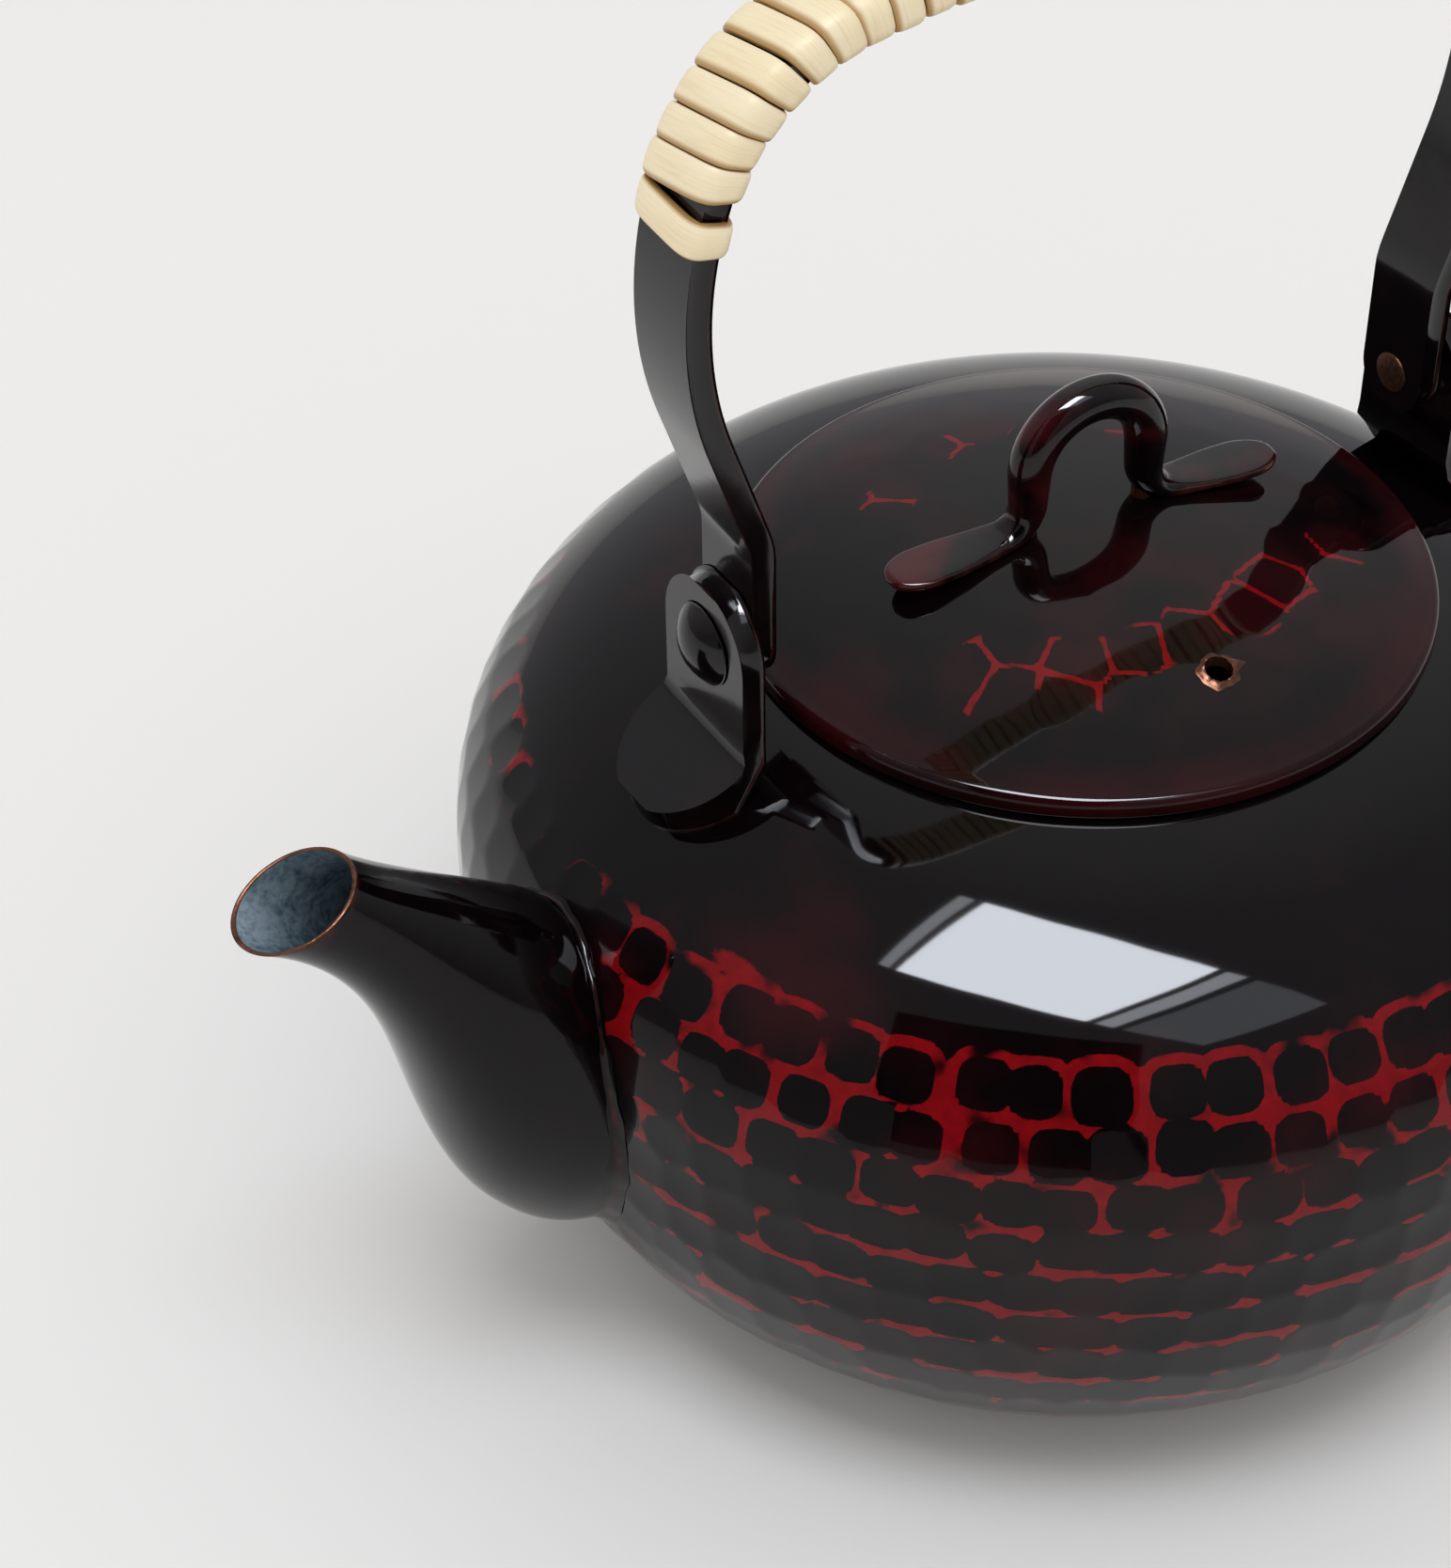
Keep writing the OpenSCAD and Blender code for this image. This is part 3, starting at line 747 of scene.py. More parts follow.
shell = points_of(body)
shell_r = np.hypot(shell[:, 0], shell[:, 1])
is_outside = (shell_r > outside_radius(shell[:, 2]) - SHEET * 0.4) & (shell[:, 2] > 1.0)
depth, net, reveal, smoke = hammered(shell)
heights = np.linspace(2, BODY_TOP, 400)
slope = np.interp(shell[:, 2], heights, np.gradient(outside_radius(heights), heights))
outward = unit(np.stack([shell[:, 0] / shell_r.clip(1), shell[:, 1] / shell_r.clip(1), -slope], axis=1))
move_points(body, shell - outward * (depth * is_outside)[:, None])
store(body, "net", net * is_outside)
store(body, "reveal", reveal)
store(body, "smoke", smoke)

finish_piece(body, "kettle", ["body_shell"], [kettle_lacquer, wiped_tin])
centre_x, centre_y, centre_z = face_centres(body).T
face_r = np.hypot(centre_x, centre_y)
tinned = (face_r < outside_radius(centre_z) - SHEET * 0.4) & (centre_z > SHEET * 0.7)
tinned &= ~((face_r < NECK_R + 0.3) & (centre_z > neck_low))
set_finishes(body, tinned)

# %% [markdown]
# ## The spout
#
# The spout is a tapered, curved tube of the same sheet, brazed over the strainer holes. Its upper and lower
# outlines and its half width are three cubic curves that share one parameter, so a ring of points can be
# drawn at any station. A curve with a bevel would keep the section round, but this one is tall at the root
# and nearly round at the mouth. The root ring lies on the body. The lip is filed round and left bare.

# %% Rings of the spout
spout_low, spout_high = box_mm("spout")
SPOUT_START = 84.5
MOUTH_TIP = -spout_low.x
SPOUT_UPPER = ((SPOUT_START, SPOUT_ROOT_TOP), (96, 90), (113, 101), (117.6, 106.6))
SPOUT_UNDER = ((SPOUT_START, SPOUT_ROOT_LOW), (123, 30), (100.5, 81), (MOUTH_TIP, 100.4))
SPOUT_HALF_WIDTH = (spout_high.y, 20, 7.4, 8)
SPOUT_SIDES = 112
FLARE_LENGTH = 0.24
LIP_T = 0.6
LIP_START = 0.992


def bezier(values, s):
    """A cubic curve through its first and last values, bent by the two between."""
    a, b, c, d = (np.asarray(v, float) for v in values)
    return (1 - s) ** 3 * a + 3 * (1 - s) ** 2 * s * b + 3 * (1 - s) * s * s * c + s ** 3 * d


def spout_ring(s, inset=0.0):
    """The spout's ring at station s, from 0 at the body to 1 at the mouth."""
    upper, under = bezier(SPOUT_UPPER, s), bezier(SPOUT_UNDER, s)
    middle, half = (upper + under) / 2, (upper - under) / 2
    half = half * (1 - inset / np.linalg.norm(half))
    width = bezier(SPOUT_HALF_WIDTH, s) - inset
    turn = np.linspace(0, 2 * math.pi, SPOUT_SIDES, endpoint=False)
    x = middle[0] + half[0] * np.cos(turn)
    y = width * np.sin(turn)
    z = middle[1] + half[1] * np.cos(turn)
    if s < FLARE_LENGTH:
        at_root = np.sqrt(outside_radius(z) ** 2 - y ** 2) - SPOUT_START
        x = x + at_root * (1 - s / FLARE_LENGTH) ** 2
    return np.stack([-x, y, z], axis=1)


stations = np.linspace(0, 1, 90) ** 1.15 * LIP_START
lip_turns = np.radians(np.linspace(20, 160, 6))
outer_rings = [spout_ring(s) for s in stations]
lip_rings = [spout_ring(LIP_START + 0.004 * math.sin(t), LIP_T / 2 * (1 - math.cos(t))) for t in lip_turns]
wall = LIP_T + (SHEET - LIP_T) * smoothstep(1 - stations[::-1], 0.0, 0.12)
inner_rings = [spout_ring(s, t) for s, t in zip(stations[::-1], wall)]
spout_rings = outer_rings + lip_rings + inner_rings
spout = new_object("spout_tube", np.concatenate(spout_rings), grid_faces(len(spout_rings), SPOUT_SIDES, True))

# %% Dress the spout
lip_start, lip_end = len(outer_rings) - 1, len(outer_rings) + len(lip_rings)
finish_piece(spout, "kettle", ["spout"], [spout_lacquer, wiped_tin, bare_copper])
face_row = np.arange(len(spout.data.polygons)) // SPOUT_SIDES
spout_finish = np.where(face_row >= lip_end, 1, np.where(face_row >= lip_start, 2, 0))
spout_finish[face_row == face_row.max()] = 0
set_finishes(spout, spout_finish)
ring_of_point = np.arange(len(spout.data.vertices)) // SPOUT_SIDES
lip_distance = np.abs(ring_of_point - (lip_start + lip_end) / 2)
store(spout, "edge", 1 - smoothstep(lip_distance, 3, 9))
print("spout rings:", len(outer_rings), "outside,", len(lip_rings), "on the lip,", len(inner_rings), "inside")

# %% [markdown]
# ## The braze round the spout's root
#
# Brass filler was run round the joint and filed. It fills the corner with a hollow face, and its width
# wanders a little because it was fed by hand. It is made as a ring of small sections, one at each side of
# the root, with a few slow waves in its size.

# %% Run the bead
BEAD_WIDTH = 2.1
BEAD_HOLLOW = 0.1364
root = spout_ring(0.0)
away = unit(spout_ring(0.0, -BEAD_WIDTH) - root)
up_wall = unit(spout_ring(0.05) - root)
bead_turn = np.linspace(0, 2 * math.pi, SPOUT_SIDES, endpoint=False)
bead_waves = 0.10 * np.sin(7 * bead_turn + 1) + 0.08 * np.sin(17 * bead_turn) + 0.05 * np.sin(31 * bead_turn)
bead_size = BEAD_WIDTH * (0.86 + bead_waves)
lift = np.array([-0.05, 0, 0])
bead_rows = []
for across in np.linspace(0, 1, 7):
    hollow = BEAD_HOLLOW * math.sin(math.pi * across)
    on_body = away * (bead_size * (1 - across - hollow))[:, None]
    on_wall = up_wall * (bead_size * (across - hollow))[:, None]
    bead_rows.append(root + lift + on_body + on_wall)
bead_rows.append(root + lift * 0.5)
bead = new_object("spout_bead", np.concatenate(bead_rows), grid_faces(len(bead_rows), SPOUT_SIDES, True))
bead_edge = np.zeros((len(bead_rows), SPOUT_SIDES))
bead_edge[2:5] = 0.8
store(bead, "edge", bead_edge.ravel()[:len(bead.data.vertices)])
finish_piece(bead, "kettle", ["spout_braze"], [spout_lacquer])

# %% [markdown]
# ## Bent plates
#
# The two lugs and the bail are cut from flat bar, filed round at the ends and bent. The same two steps work
# here: a flat plate is drawn with its length along u, and then bent along a line. Its edges are rounded
# because an edge with no radius never catches the light.

# %% Flat plates and the line that they are bent along
FACE_SHARES = (0.0, 0.4, 0.8)
EDGE_TURNS = (90, 65, 40, 15, -15, -40, -65, -90)


def plate(outline, spine_start, spine_end, thickness, edge_radius):
    """A flat plate as rows of (u, y, height), filled from its outline to its spine, and its edge values."""
    outline = np.asarray(outline, float)
    ahead = unit(np.roll(outline, -1, axis=0) - np.roll(outline, 1, axis=0))
    outward = np.stack([ahead[:, 1], -ahead[:, 0]], axis=1)
    spine = np.stack([np.clip(outline[:, 0], spine_start, spine_end), np.zeros(len(outline))], axis=1)
    inner = outline - outward * edge_radius
    steps = [(spine + (inner - spine) * share, thickness / 2, 0.0) for share in FACE_SHARES]
    for turn in np.radians(EDGE_TURNS):
        reach = inner + outward * edge_radius * math.cos(turn)
        side = math.copysign(thickness / 2 - edge_radius, turn)
        steps.append((reach, side + edge_radius * math.sin(turn), 0.9 * math.sin(2 * abs(turn)) ** 2 + 0.1))
    steps += [(spine + (inner - spine) * share, -thickness / 2, 0.0) for share in FACE_SHARES[::-1]]
    rows = [np.column_stack([place, np.full(len(outline), height)]) for place, height, _ in steps]
    return np.array(rows), np.repeat([edge for _, _, edge in steps], len(outline))


def walk(x, z, heading, moves, step=1.0):
    """A line in the X-Z plane as rows of x, z and heading, from straight stretches and turns.
    The heading is in degrees out from upright. A move is (length,) or (radius, degrees)."""
    line = [(x, z, heading)]
    for move in moves:
        out, up = math.sin(math.radians(heading)), math.cos(math.radians(heading))
        if len(move) == 1:
            count = max(1, int(move[0] / step))
            for i in range(1, count + 1):
                d = move[0] * i / count
                line.append((x + d * out, z + d * up, heading))
        else:
            turn = move[1]
            radius = math.copysign(move[0], turn)
            count = max(2, int(abs(math.radians(turn) * radius) / step))
            for i in range(1, count + 1):
                now = heading + turn * i / count
                far, high = math.cos(math.radians(now)), math.sin(math.radians(now))
                line.append((x - radius * (far - up), z + radius * (high - out), now))
        x, z, heading = line[-1]
    return np.array(line)


def bent(rows, line):
    """Plate rows carried along a line: u becomes distance along it, and height its outward side."""
    flat = rows.reshape(-1, 3)
    x, z, heading = (np.interp(flat[:, 0], distances(line[:, :2]), line[:, k]) for k in range(3))
    out_x, out_z = np.cos(np.radians(heading)), -np.sin(np.radians(heading))
    return np.column_stack([x + out_x * flat[:, 2], flat[:, 1], z + out_z * flat[:, 2]])


def both_sides(half_outline):
    """A closed outline from its half on the +Y side, given as u and y from one tip to the other."""
    half_outline = np.asarray(half_outline, float)
    return np.concatenate([half_outline, (half_outline * (1, -1))[-2:0:-1]])


def round_tip(centre, radius, start, end, count=14):
    """Points of a round tip in u and y, from one angle to another, in degrees from the +u direction."""
    turns = np.radians(np.linspace(start, end, count))
    return np.stack([centre + radius * np.cos(turns), radius * np.sin(turns)], axis=1)


print("plates and lines are ready")

# %% [markdown]
# ## The lugs
#
# Each lug is a strap of copper with a round foot, brazed flat on the shoulder, and a round ear bent upright.
# The ear carries the bail's rivet. Points on the foot's underside follow the shoulder, as the metal does
# after it has been dressed down on the body.

# %% Cut and bend the lugs
pivot = Vector(next(j for j in frame["joints"] if j["name"] == "bail_swing")["pos_m"]) / MM
PIVOT_Z = pivot.z
LUG_T = 3.6
EAR_HALF = 9.2
FOOT_R = 10.4
FOOT_TILT = 31.0
FOOT_LENGTH = 12.6
LUG_BEND_R = 4.0
BEND_Z = 106.0
EAR_X = box_mm("rear_lug")[0].x + LUG_T / 2
HOLE_D = 6.3
LUG_EDGE = 0.7


def shoulder_height(radius):
    """The shoulder's height at a radius, or at an array of radii."""
    share = 1 - (np.minimum(radius, BODY_R) / BODY_R) ** SHOULDER_POWER
    return BELLY_Z + SHOULDER_RISE * share ** (1 / SHOULDER_POWER)


def drill_across(x, z, diameter, length):
    """A drill along X, centred on that place."""
    drill_points, drill_faces = rod(diameter / 2, -length / 2, length / 2, 48)
    return new_object("drill", drill_points[:, [2, 1, 0]] + (x, 0, z), drill_faces)


tilt_sin, tilt_cos = math.sin(math.radians(FOOT_TILT)), math.cos(math.radians(FOOT_TILT))
tip_x = EAR_X + LUG_BEND_R - LUG_BEND_R * tilt_sin + FOOT_LENGTH * tilt_cos
tip_z = BEND_Z - LUG_BEND_R * tilt_cos - FOOT_LENGTH * tilt_sin
lug_moves = [(FOOT_LENGTH,), (LUG_BEND_R, 90 - FOOT_TILT), (PIVOT_Z + EAR_HALF - BEND_Z,)]
lug_line = walk(tip_x, tip_z, FOOT_TILT - 90, lug_moves, 0.5)
ear_centre = distances(lug_line[:, :2])[-1] - EAR_HALF
foot_round = FOOT_LENGTH - 0.5
half = np.concatenate([
    round_tip(foot_round, foot_round, 180, 100) * (1, FOOT_R / foot_round),
    [(FOOT_LENGTH, FOOT_R), (FOOT_LENGTH + 2.5, FOOT_R - 0.5), (FOOT_LENGTH + 5, EAR_HALF)],
    [(u, EAR_HALF) for u in np.linspace(FOOT_LENGTH + 7, ear_centre - 1, 5)],
    round_tip(ear_centre, EAR_HALF, 90, 0),
])
for side, name, node in ((-1, "front_ear", "front_lug"), (1, "rear_ear", "rear_lug")):
    rows, edge = plate(both_sides(half), FOOT_LENGTH - 3, ear_centre, LUG_T, LUG_EDGE)
    lug_points = bent(rows, lug_line)
    on_foot = lug_points[:, 0] > EAR_X + LUG_T / 2
    surface = shoulder_height(np.hypot(lug_points[:, 0], lug_points[:, 1]))
    is_under = (rows.reshape(-1, 3)[:, 2] < -0.5) | (lug_points[:, 2] < surface)
    lug_points[:, 2] = np.where(on_foot & is_under, surface + 0.02, lug_points[:, 2])
    lug = new_object(name, lug_points * (side, 1, 1), grid_faces(len(rows), rows.shape[1]))
    cut(lug, drill_across(side * EAR_X, PIVOT_Z, HOLE_D - 0.1, 10))
    store(lug, "edge", values_near(lug, lug_points * (side, 1, 1), edge))
    finish_piece(lug, "kettle", [node], [strap_lacquer])

# %% [markdown]
# ## The rivets
#
# A rivet goes through the ear and the bail. Its outer end is a domed head, lacquered with the kettle. Its
# inner end was peened after lacquering, so it is bare, slightly domed and dented by the hammer.

# %% Head and peen the rivets
RIVET_D = 6.2
HEAD_D = 12.2
HEAD_H = 3.0
STRAP_T = 3.8
STRAP_X = 57.5
head_ball = ((HEAD_D / 2) ** 2 + HEAD_H ** 2) / (2 * HEAD_H)
ear_outer = EAR_X + LUG_T / 2
inner_end = STRAP_X - STRAP_T / 2 - 0.3
head_turns = np.linspace(0, math.asin(HEAD_D / 2 / head_ball), 22)
head_heights = ear_outer + HEAD_H - head_ball * (1 - np.cos(head_turns))
head_curve = np.stack([head_ball * np.sin(head_turns), head_heights], axis=1)
rivet_r, head_r = RIVET_D / 2, HEAD_D / 2
rivet_outline = np.concatenate([
    [(0, inner_end - 0.25), (1.2, inner_end - 0.22), (2.3, inner_end - 0.12)],
    [(rivet_r - 0.1, inner_end + 0.1), (rivet_r, inner_end + 0.4), (rivet_r, ear_outer + 0.02)],
    [(head_r - 0.3, ear_outer + 0.02), (head_r, ear_outer + 0.25)],
    head_curve[::-1][1:],
])
for side, name, node in ((-1, "front_pin", "front_rivet"), (1, "rear_pin", "rear_rivet")):
    pin_points, pin_faces = lathe(rivet_outline, 64)
    pin_points = pin_points[:, [2, 1, 0]] * (side, 1, 1) + (0, 0, PIVOT_Z)
    pin = new_object(name, pin_points, pin_faces)
    store(pin, "edge", np.zeros(len(pin.data.vertices)))
    finish_piece(pin, "kettle", [node], [strap_lacquer, bare_copper])
    set_finishes(pin, face_centres(pin)[:, 0] * side < ear_outer - 0.1)

# %% [markdown]
# ## The bail
#
# The bail is one strap bent to a bow on each side and an arch on top, about 96 mm above its rivets. The line
# is made of straight stretches and arcs, as a smith bends it over a former, and the far half mirrors the
# near one.

# %% Bend the strap
STRAP_W = 11.0
LEAN = 19.0
KINK_Z = 134.5
LEAN_LENGTH = 17.5
BOW_R = 55.0
ARCH_R = 28.0
KINK_R = 10.0
CROWN_TURN = 8.0
STRAP_EDGE = 0.75
half_width = STRAP_W / 2
to_bow_end = [(half_width + KINK_Z - PIVOT_Z,), (KINK_R, LEAN), (LEAN_LENGTH,), (BOW_R, -2 * LEAN)]
arch = [(ARCH_R, -(90 - CROWN_TURN - LEAN))]
arch_end = walk(STRAP_X, PIVOT_Z - half_width, 0, to_bow_end + arch)[-1]
crown = [(arch_end[0] / math.sin(math.radians(CROWN_TURN)), -CROWN_TURN)]
half_line = walk(STRAP_X, PIVOT_Z - half_width, 0, to_bow_end + arch + crown)
far_half = half_line[::-1][1:] * (-1, 1, 1)
far_half[:, 2] = -180 - half_line[::-1][1:, 2]
bail_line = np.concatenate([half_line, far_half])
bail_length = distances(bail_line[:, :2])[-1]
half = np.concatenate([
    round_tip(half_width, half_width, 180, 92, 12),
    [(u, half_width) for u in np.arange(half_width, bail_length - half_width, 1.5)],
    round_tip(bail_length - half_width, half_width, 88, 0, 12),
])
rows, edge = plate(both_sides(half), half_width, bail_length - half_width, STRAP_T, STRAP_EDGE)
strap_points = bent(rows, bail_line)
strap = new_object("bail", strap_points, grid_faces(len(rows), rows.shape[1]))
for side in (-1, 1):
    cut(strap, drill_across(side * STRAP_X, PIVOT_Z, HOLE_D, 10))
store(strap, "edge", values_near(strap, strap_points, edge))
finish_piece(strap, "bail", ["bail_strap"], [strap_lacquer])
print("strap length", round(bail_length, 1), "mm")

# %% [markdown]
# ## Cane
#
# Split cane is a flat strip, glossy and rounded on its bark side, with fine straight fibres along it. Its
# colour varies along the strip, and its sides are painted a darker brown: painted shade in the grooves where
# one turn meets the next. Two values at each point, the distance along the strip and the place across it,
# let the fibres follow every turn of the winding.

# %% Split cane
split_cane, cane_shader = new_material("split_cane", Roughness=0.42, IOR=1.5)
FIBRE_WIDTH = 0.22
FIBRE_LENGTH = 9.0
TONE_WIDTH = 6.0
TONE_LENGTH = 26.0
across = stored(split_cane, "across")
strip = add_node(split_cane, "ShaderNodeCombineXYZ", {"X": stored(split_cane, "along"), "Y": across})


def strip_noise(length, width, **settings):
    """Noise on the strip whose patches have that length and width in millimetres."""
    inputs = {0: strip.outputs["Vector"], 1: (1 / length, 1 / width, 0.0)}
    place = add_node(split_cane, "ShaderNodeVectorMath", inputs, operation="MULTIPLY").outputs["Vector"]
    settings = {"Vector": place, "Scale": 1.0, **settings}
    return add_node(split_cane, "ShaderNodeTexNoise", settings).outputs["Fac"]


fibres = strip_noise(FIBRE_LENGTH, FIBRE_WIDTH, Detail=3.0, Roughness=0.6)
tones = strip_noise(TONE_LENGTH, TONE_WIDTH, Detail=2.0)
pale = mixed(split_cane, tones, linear("#f3dcaa"), linear("#fff4d8"))
streak_share = scaled(split_cane, fibres, 0.48, 0.78, high=0.40, curve="LINEAR")
streaked = mixed(split_cane, streak_share, pale, linear("#d9b980"))
# The strip's sides are painted darker brown: painted shade in the grooves between neighbouring turns.
groove_shade_share = scaled(split_cane, calculated(split_cane, "ABSOLUTE", across), 1.75, 2.25)
cane_colour = mixed(split_cane, groove_shade_share, streaked, linear("#b58d55"))
connect(split_cane, cane_shader, cane_colour, fibres, 0.5, 0.06)
print("fibres", FIBRE_WIDTH, "mm wide")

# %% [markdown]
# ## Winding the bail
#
# One strip is wound closely over the arch, turn against turn, and a single turn sits apart just below each
# end. Each turn is a rounded strip bent round the strap's section. The widths, the pull and the slant vary
# a little from turn to turn, because they are wound by hand.

# %% A strip wound round the strap
CANE_W = 4.5
CANE_T = 1.85
CANE_GAP = 1.6
CANE_SHRINK = 0.985
STEPS_PER_TURN = 56
loop_half_w = STRAP_W / 2 + CANE_T / 2
loop_half_t = STRAP_T / 2 + CANE_T / 2
LOOP_POWER = 4.4
loop_turn = np.linspace(0, 2 * math.pi, 721)
loop_y = -loop_half_w * signed_power(np.sin(loop_turn), 2 / LOOP_POWER)
loop_h = -loop_half_t * signed_power(np.cos(loop_turn), 2 / LOOP_POWER)
loop_length = distances(np.stack([loop_y, loop_h], axis=1))
perimeter = loop_length[-1]
CANE_SIDES = 16
section_turn = np.linspace(0, 2 * math.pi, CANE_SIDES, endpoint=False)
section_w = signed_power(np.cos(section_turn), 0.55)
section_t = signed_power(np.sin(section_turn), 0.62)
cane_start = distances(walk(STRAP_X, PIVOT_Z - half_width, 0, to_bow_end)[:, :2])[-1]


def wound_strip(name, node, places, turns, tilt, seed, closed=False):
    """A cane strip whose middle is at those distances along the bail while it goes round by those turns."""
    hand = np.random.default_rng(seed)
    knots = np.arange(int(turns[-1]) + 3)
    wide = np.interp(turns, knots, hand.normal(1.0, 0.05, len(knots)))
    thick = np.interp(turns, knots, hand.normal(1.0, 0.06, len(knots)))
    slip = np.interp(turns, knots, hand.normal(0.0, 0.16, len(knots)))
    pull = np.interp(turns, knots, np.abs(hand.normal(0.0, 0.10, len(knots))))
    if closed:
        wide = np.full(len(turns), wide[0])
        thick = np.full(len(turns), thick[0])
        slip = pull = np.zeros(len(turns))
    round_place = (turns % 1) * perimeter
    y = np.interp(round_place, loop_length, loop_y)
    h = np.interp(round_place, loop_length, loop_h)
    out_y = signed_power(y / loop_half_w, LOOP_POWER - 1) / loop_half_w
    out_h = signed_power(h / loop_half_t, LOOP_POWER - 1) / loop_half_t
    out_y, out_h = unit(np.stack([out_y, out_h], axis=1)).T
    taper = np.ones(len(turns))
    if not closed:
        taper = np.sqrt(np.clip(np.minimum(turns - turns[0], turns[-1] - turns) / 0.03, 0.0, 1))
    half_w = CANE_W / 2 * CANE_SHRINK * wide
    half_t = CANE_T / 2 * thick * taper
    u = places + slip + tilt * y / loop_half_w
    rows = np.zeros((len(turns), CANE_SIDES, 3))
    rows[:, :, 0] = u[:, None] + half_w[:, None] * section_w * np.maximum(taper, 0.02)[:, None]
    lift_out = pull[:, None] + half_t[:, None] * section_t
    rows[:, :, 1] = y[:, None] + out_y[:, None] * lift_out
    rows[:, :, 2] = h[:, None] + out_h[:, None] * lift_out
    faces = grid_faces(len(turns), CANE_SIDES, closed)
    if not closed:
        last = (len(turns) - 1) * CANE_SIDES
        faces.append(list(range(CANE_SIDES))[::-1])
        faces.append(list(range(last, last + CANE_SIDES)))
    piece = new_object(name, bent(rows, bail_line), faces)
    kept = len(piece.data.vertices)
    store(piece, "along", np.repeat(turns * perimeter, CANE_SIDES)[:kept])
    store(piece, "across", np.tile(section_w * CANE_W / 2, len(turns))[:kept])
    finish_piece(piece, "bail", [node], [split_cane])


ring_place = cane_start - CANE_GAP - CANE_W / 2
# The winding ends on the inner side. Its last turn runs down to the ring, which it meets at the far edge.
wrap_start = ring_place + CANE_W * 0.8
wrap_end = bail_length - wrap_start
wrap_turns = round((wrap_end - wrap_start) / CANE_W)
turns = np.linspace(0.2, wrap_turns - 0.2, wrap_turns * STEPS_PER_TURN + 1)
wrap_places = wrap_start + (wrap_end - wrap_start) * turns / wrap_turns
wound_strip("cane_winding", "cane_wrap", wrap_places, turns, 0.0, 3)
one_turn = np.linspace(0, 1, STEPS_PER_TURN * 2, endpoint=False)
rear_place = np.full(len(one_turn), ring_place)
wound_strip("cane_ring_rear", "cane_turn_rear", rear_place, one_turn, 0.3, 5, closed=True)
wound_strip("cane_ring_front", "cane_turn_front", bail_length - rear_place, one_turn, -0.3, 6, closed=True)
print("close turns:", wrap_turns)

# %% [markdown]
# ## The lid
#
# The lid is a shallow dome with a turned-down rim and a small steam hole. The hole was punched from below,
# so its edge stands up in a torn burr of bare copper. A ring of hammer marks near the middle was rubbed
# through in a few places, and the rest was polished almost flat.

# %% Turn the lid
lid_low, lid_high = box_mm("lid_disc")
LID_R = 50.0
LID_RIM_R = lid_high.x
DOME_TOP = lid_high.z
DOME_H = 10.0
CREST_Z = DOME_TOP - DOME_H
RIM_LOW = lid_low.z
RIM_ROUND = 1.4
STEAM_D = 4.0
STEAM_R = 34.5
LID_TURN = -3.7
dome_ball = (LID_R ** 2 + DOME_H ** 2) / (2 * DOME_H)


def dome_height(radius):
    """The height of the dome's top face at a radius."""
    return DOME_TOP - dome_ball + np.sqrt(dome_ball ** 2 - np.minimum(radius, LID_R) ** 2)


def turned(points, degrees):
    """Points turned about the kettle's axis."""
    c, s = math.cos(math.radians(degrees)), math.sin(math.radians(degrees))
    x, y = points[:, 0] * c - points[:, 1] * s, points[:, 0] * s + points[:, 1] * c
    return np.column_stack([x, y, points[:, 2]])


crest_r = LID_R - 0.6
dome_r = np.linspace(0, crest_r - 0.4, 72)
rim_inner = LID_RIM_R - SHEET
lid_outline = np.concatenate([
    np.column_stack([dome_r, dome_height(dome_r)]),
    arc((LID_RIM_R - RIM_ROUND, CREST_Z - RIM_ROUND), RIM_ROUND, 78, 0, 9),
    arc((LID_RIM_R - 0.5, RIM_LOW + 0.5), 0.5, 0, -90, 4),
    [(rim_inner, RIM_LOW), (rim_inner, CREST_Z - RIM_ROUND - 0.4)],
    [(crest_r - 0.6, dome_height(crest_r - 0.6) - SHEET)],
    np.column_stack([dome_r[::-3], dome_height(dome_r[::-3]) - SHEET]),
])
lid_outline[-1, 0] = 0
lid = new_object("lid", *lathe(lid_outline, 360))

# %% Punch the steam hole and the knob's two holes
BURR_R = 3.0
PIN_D = 3.04
PIN_OUT = 9.6
burr_outline = [
    (0, -0.6), (BURR_R, -0.6), (BURR_R, 0.02), (BURR_R - 0.35, 0.16),
    (BURR_R - 0.65, 0.45), (BURR_R - 1.0, 0.5), (0, 0.5),
]
burr_points, burr_faces = lathe(burr_outline, 40)
ragged = np.random.default_rng(11).normal(0, 0.13, len(burr_points))
on_axis = np.hypot(burr_points[:, 0], burr_points[:, 1]) < 0.5
burr_points[:, 2] += np.where((burr_points[:, 2] > 0.3) & ~on_axis, ragged, 0)
burr_turn = np.arctan2(burr_points[:, 1], burr_points[:, 0])
burr_waves = 0.07 * np.sin(2 * burr_turn + 0.9) + 0.06 * np.sin(5 * burr_turn)
burr_waves += 0.04 * np.sin(9 * burr_turn + 2)
burr_spike = 0.42 * np.exp(-(burr_turn / 0.16) ** 2)
burr_points[:, :2] *= (1 + burr_waves + burr_spike)[:, None]
burr_points += (0, -STEAM_R, 0)
burr_points[:, 2] += dome_height(np.hypot(burr_points[:, 0], burr_points[:, 1]))
cut(lid, new_object("burr", burr_points, burr_faces), "UNION")
for x, y, width, sides in ((0, -STEAM_R, STEAM_D, 40), (-PIN_OUT, 0, PIN_D, 24), (PIN_OUT, 0, PIN_D, 24)):
    punch_points, punch_faces = rod(width / 2, -4, 4, sides)
    cut(lid, new_object("punch", punch_points + (x, y, dome_height(math.hypot(x, y))), punch_faces))

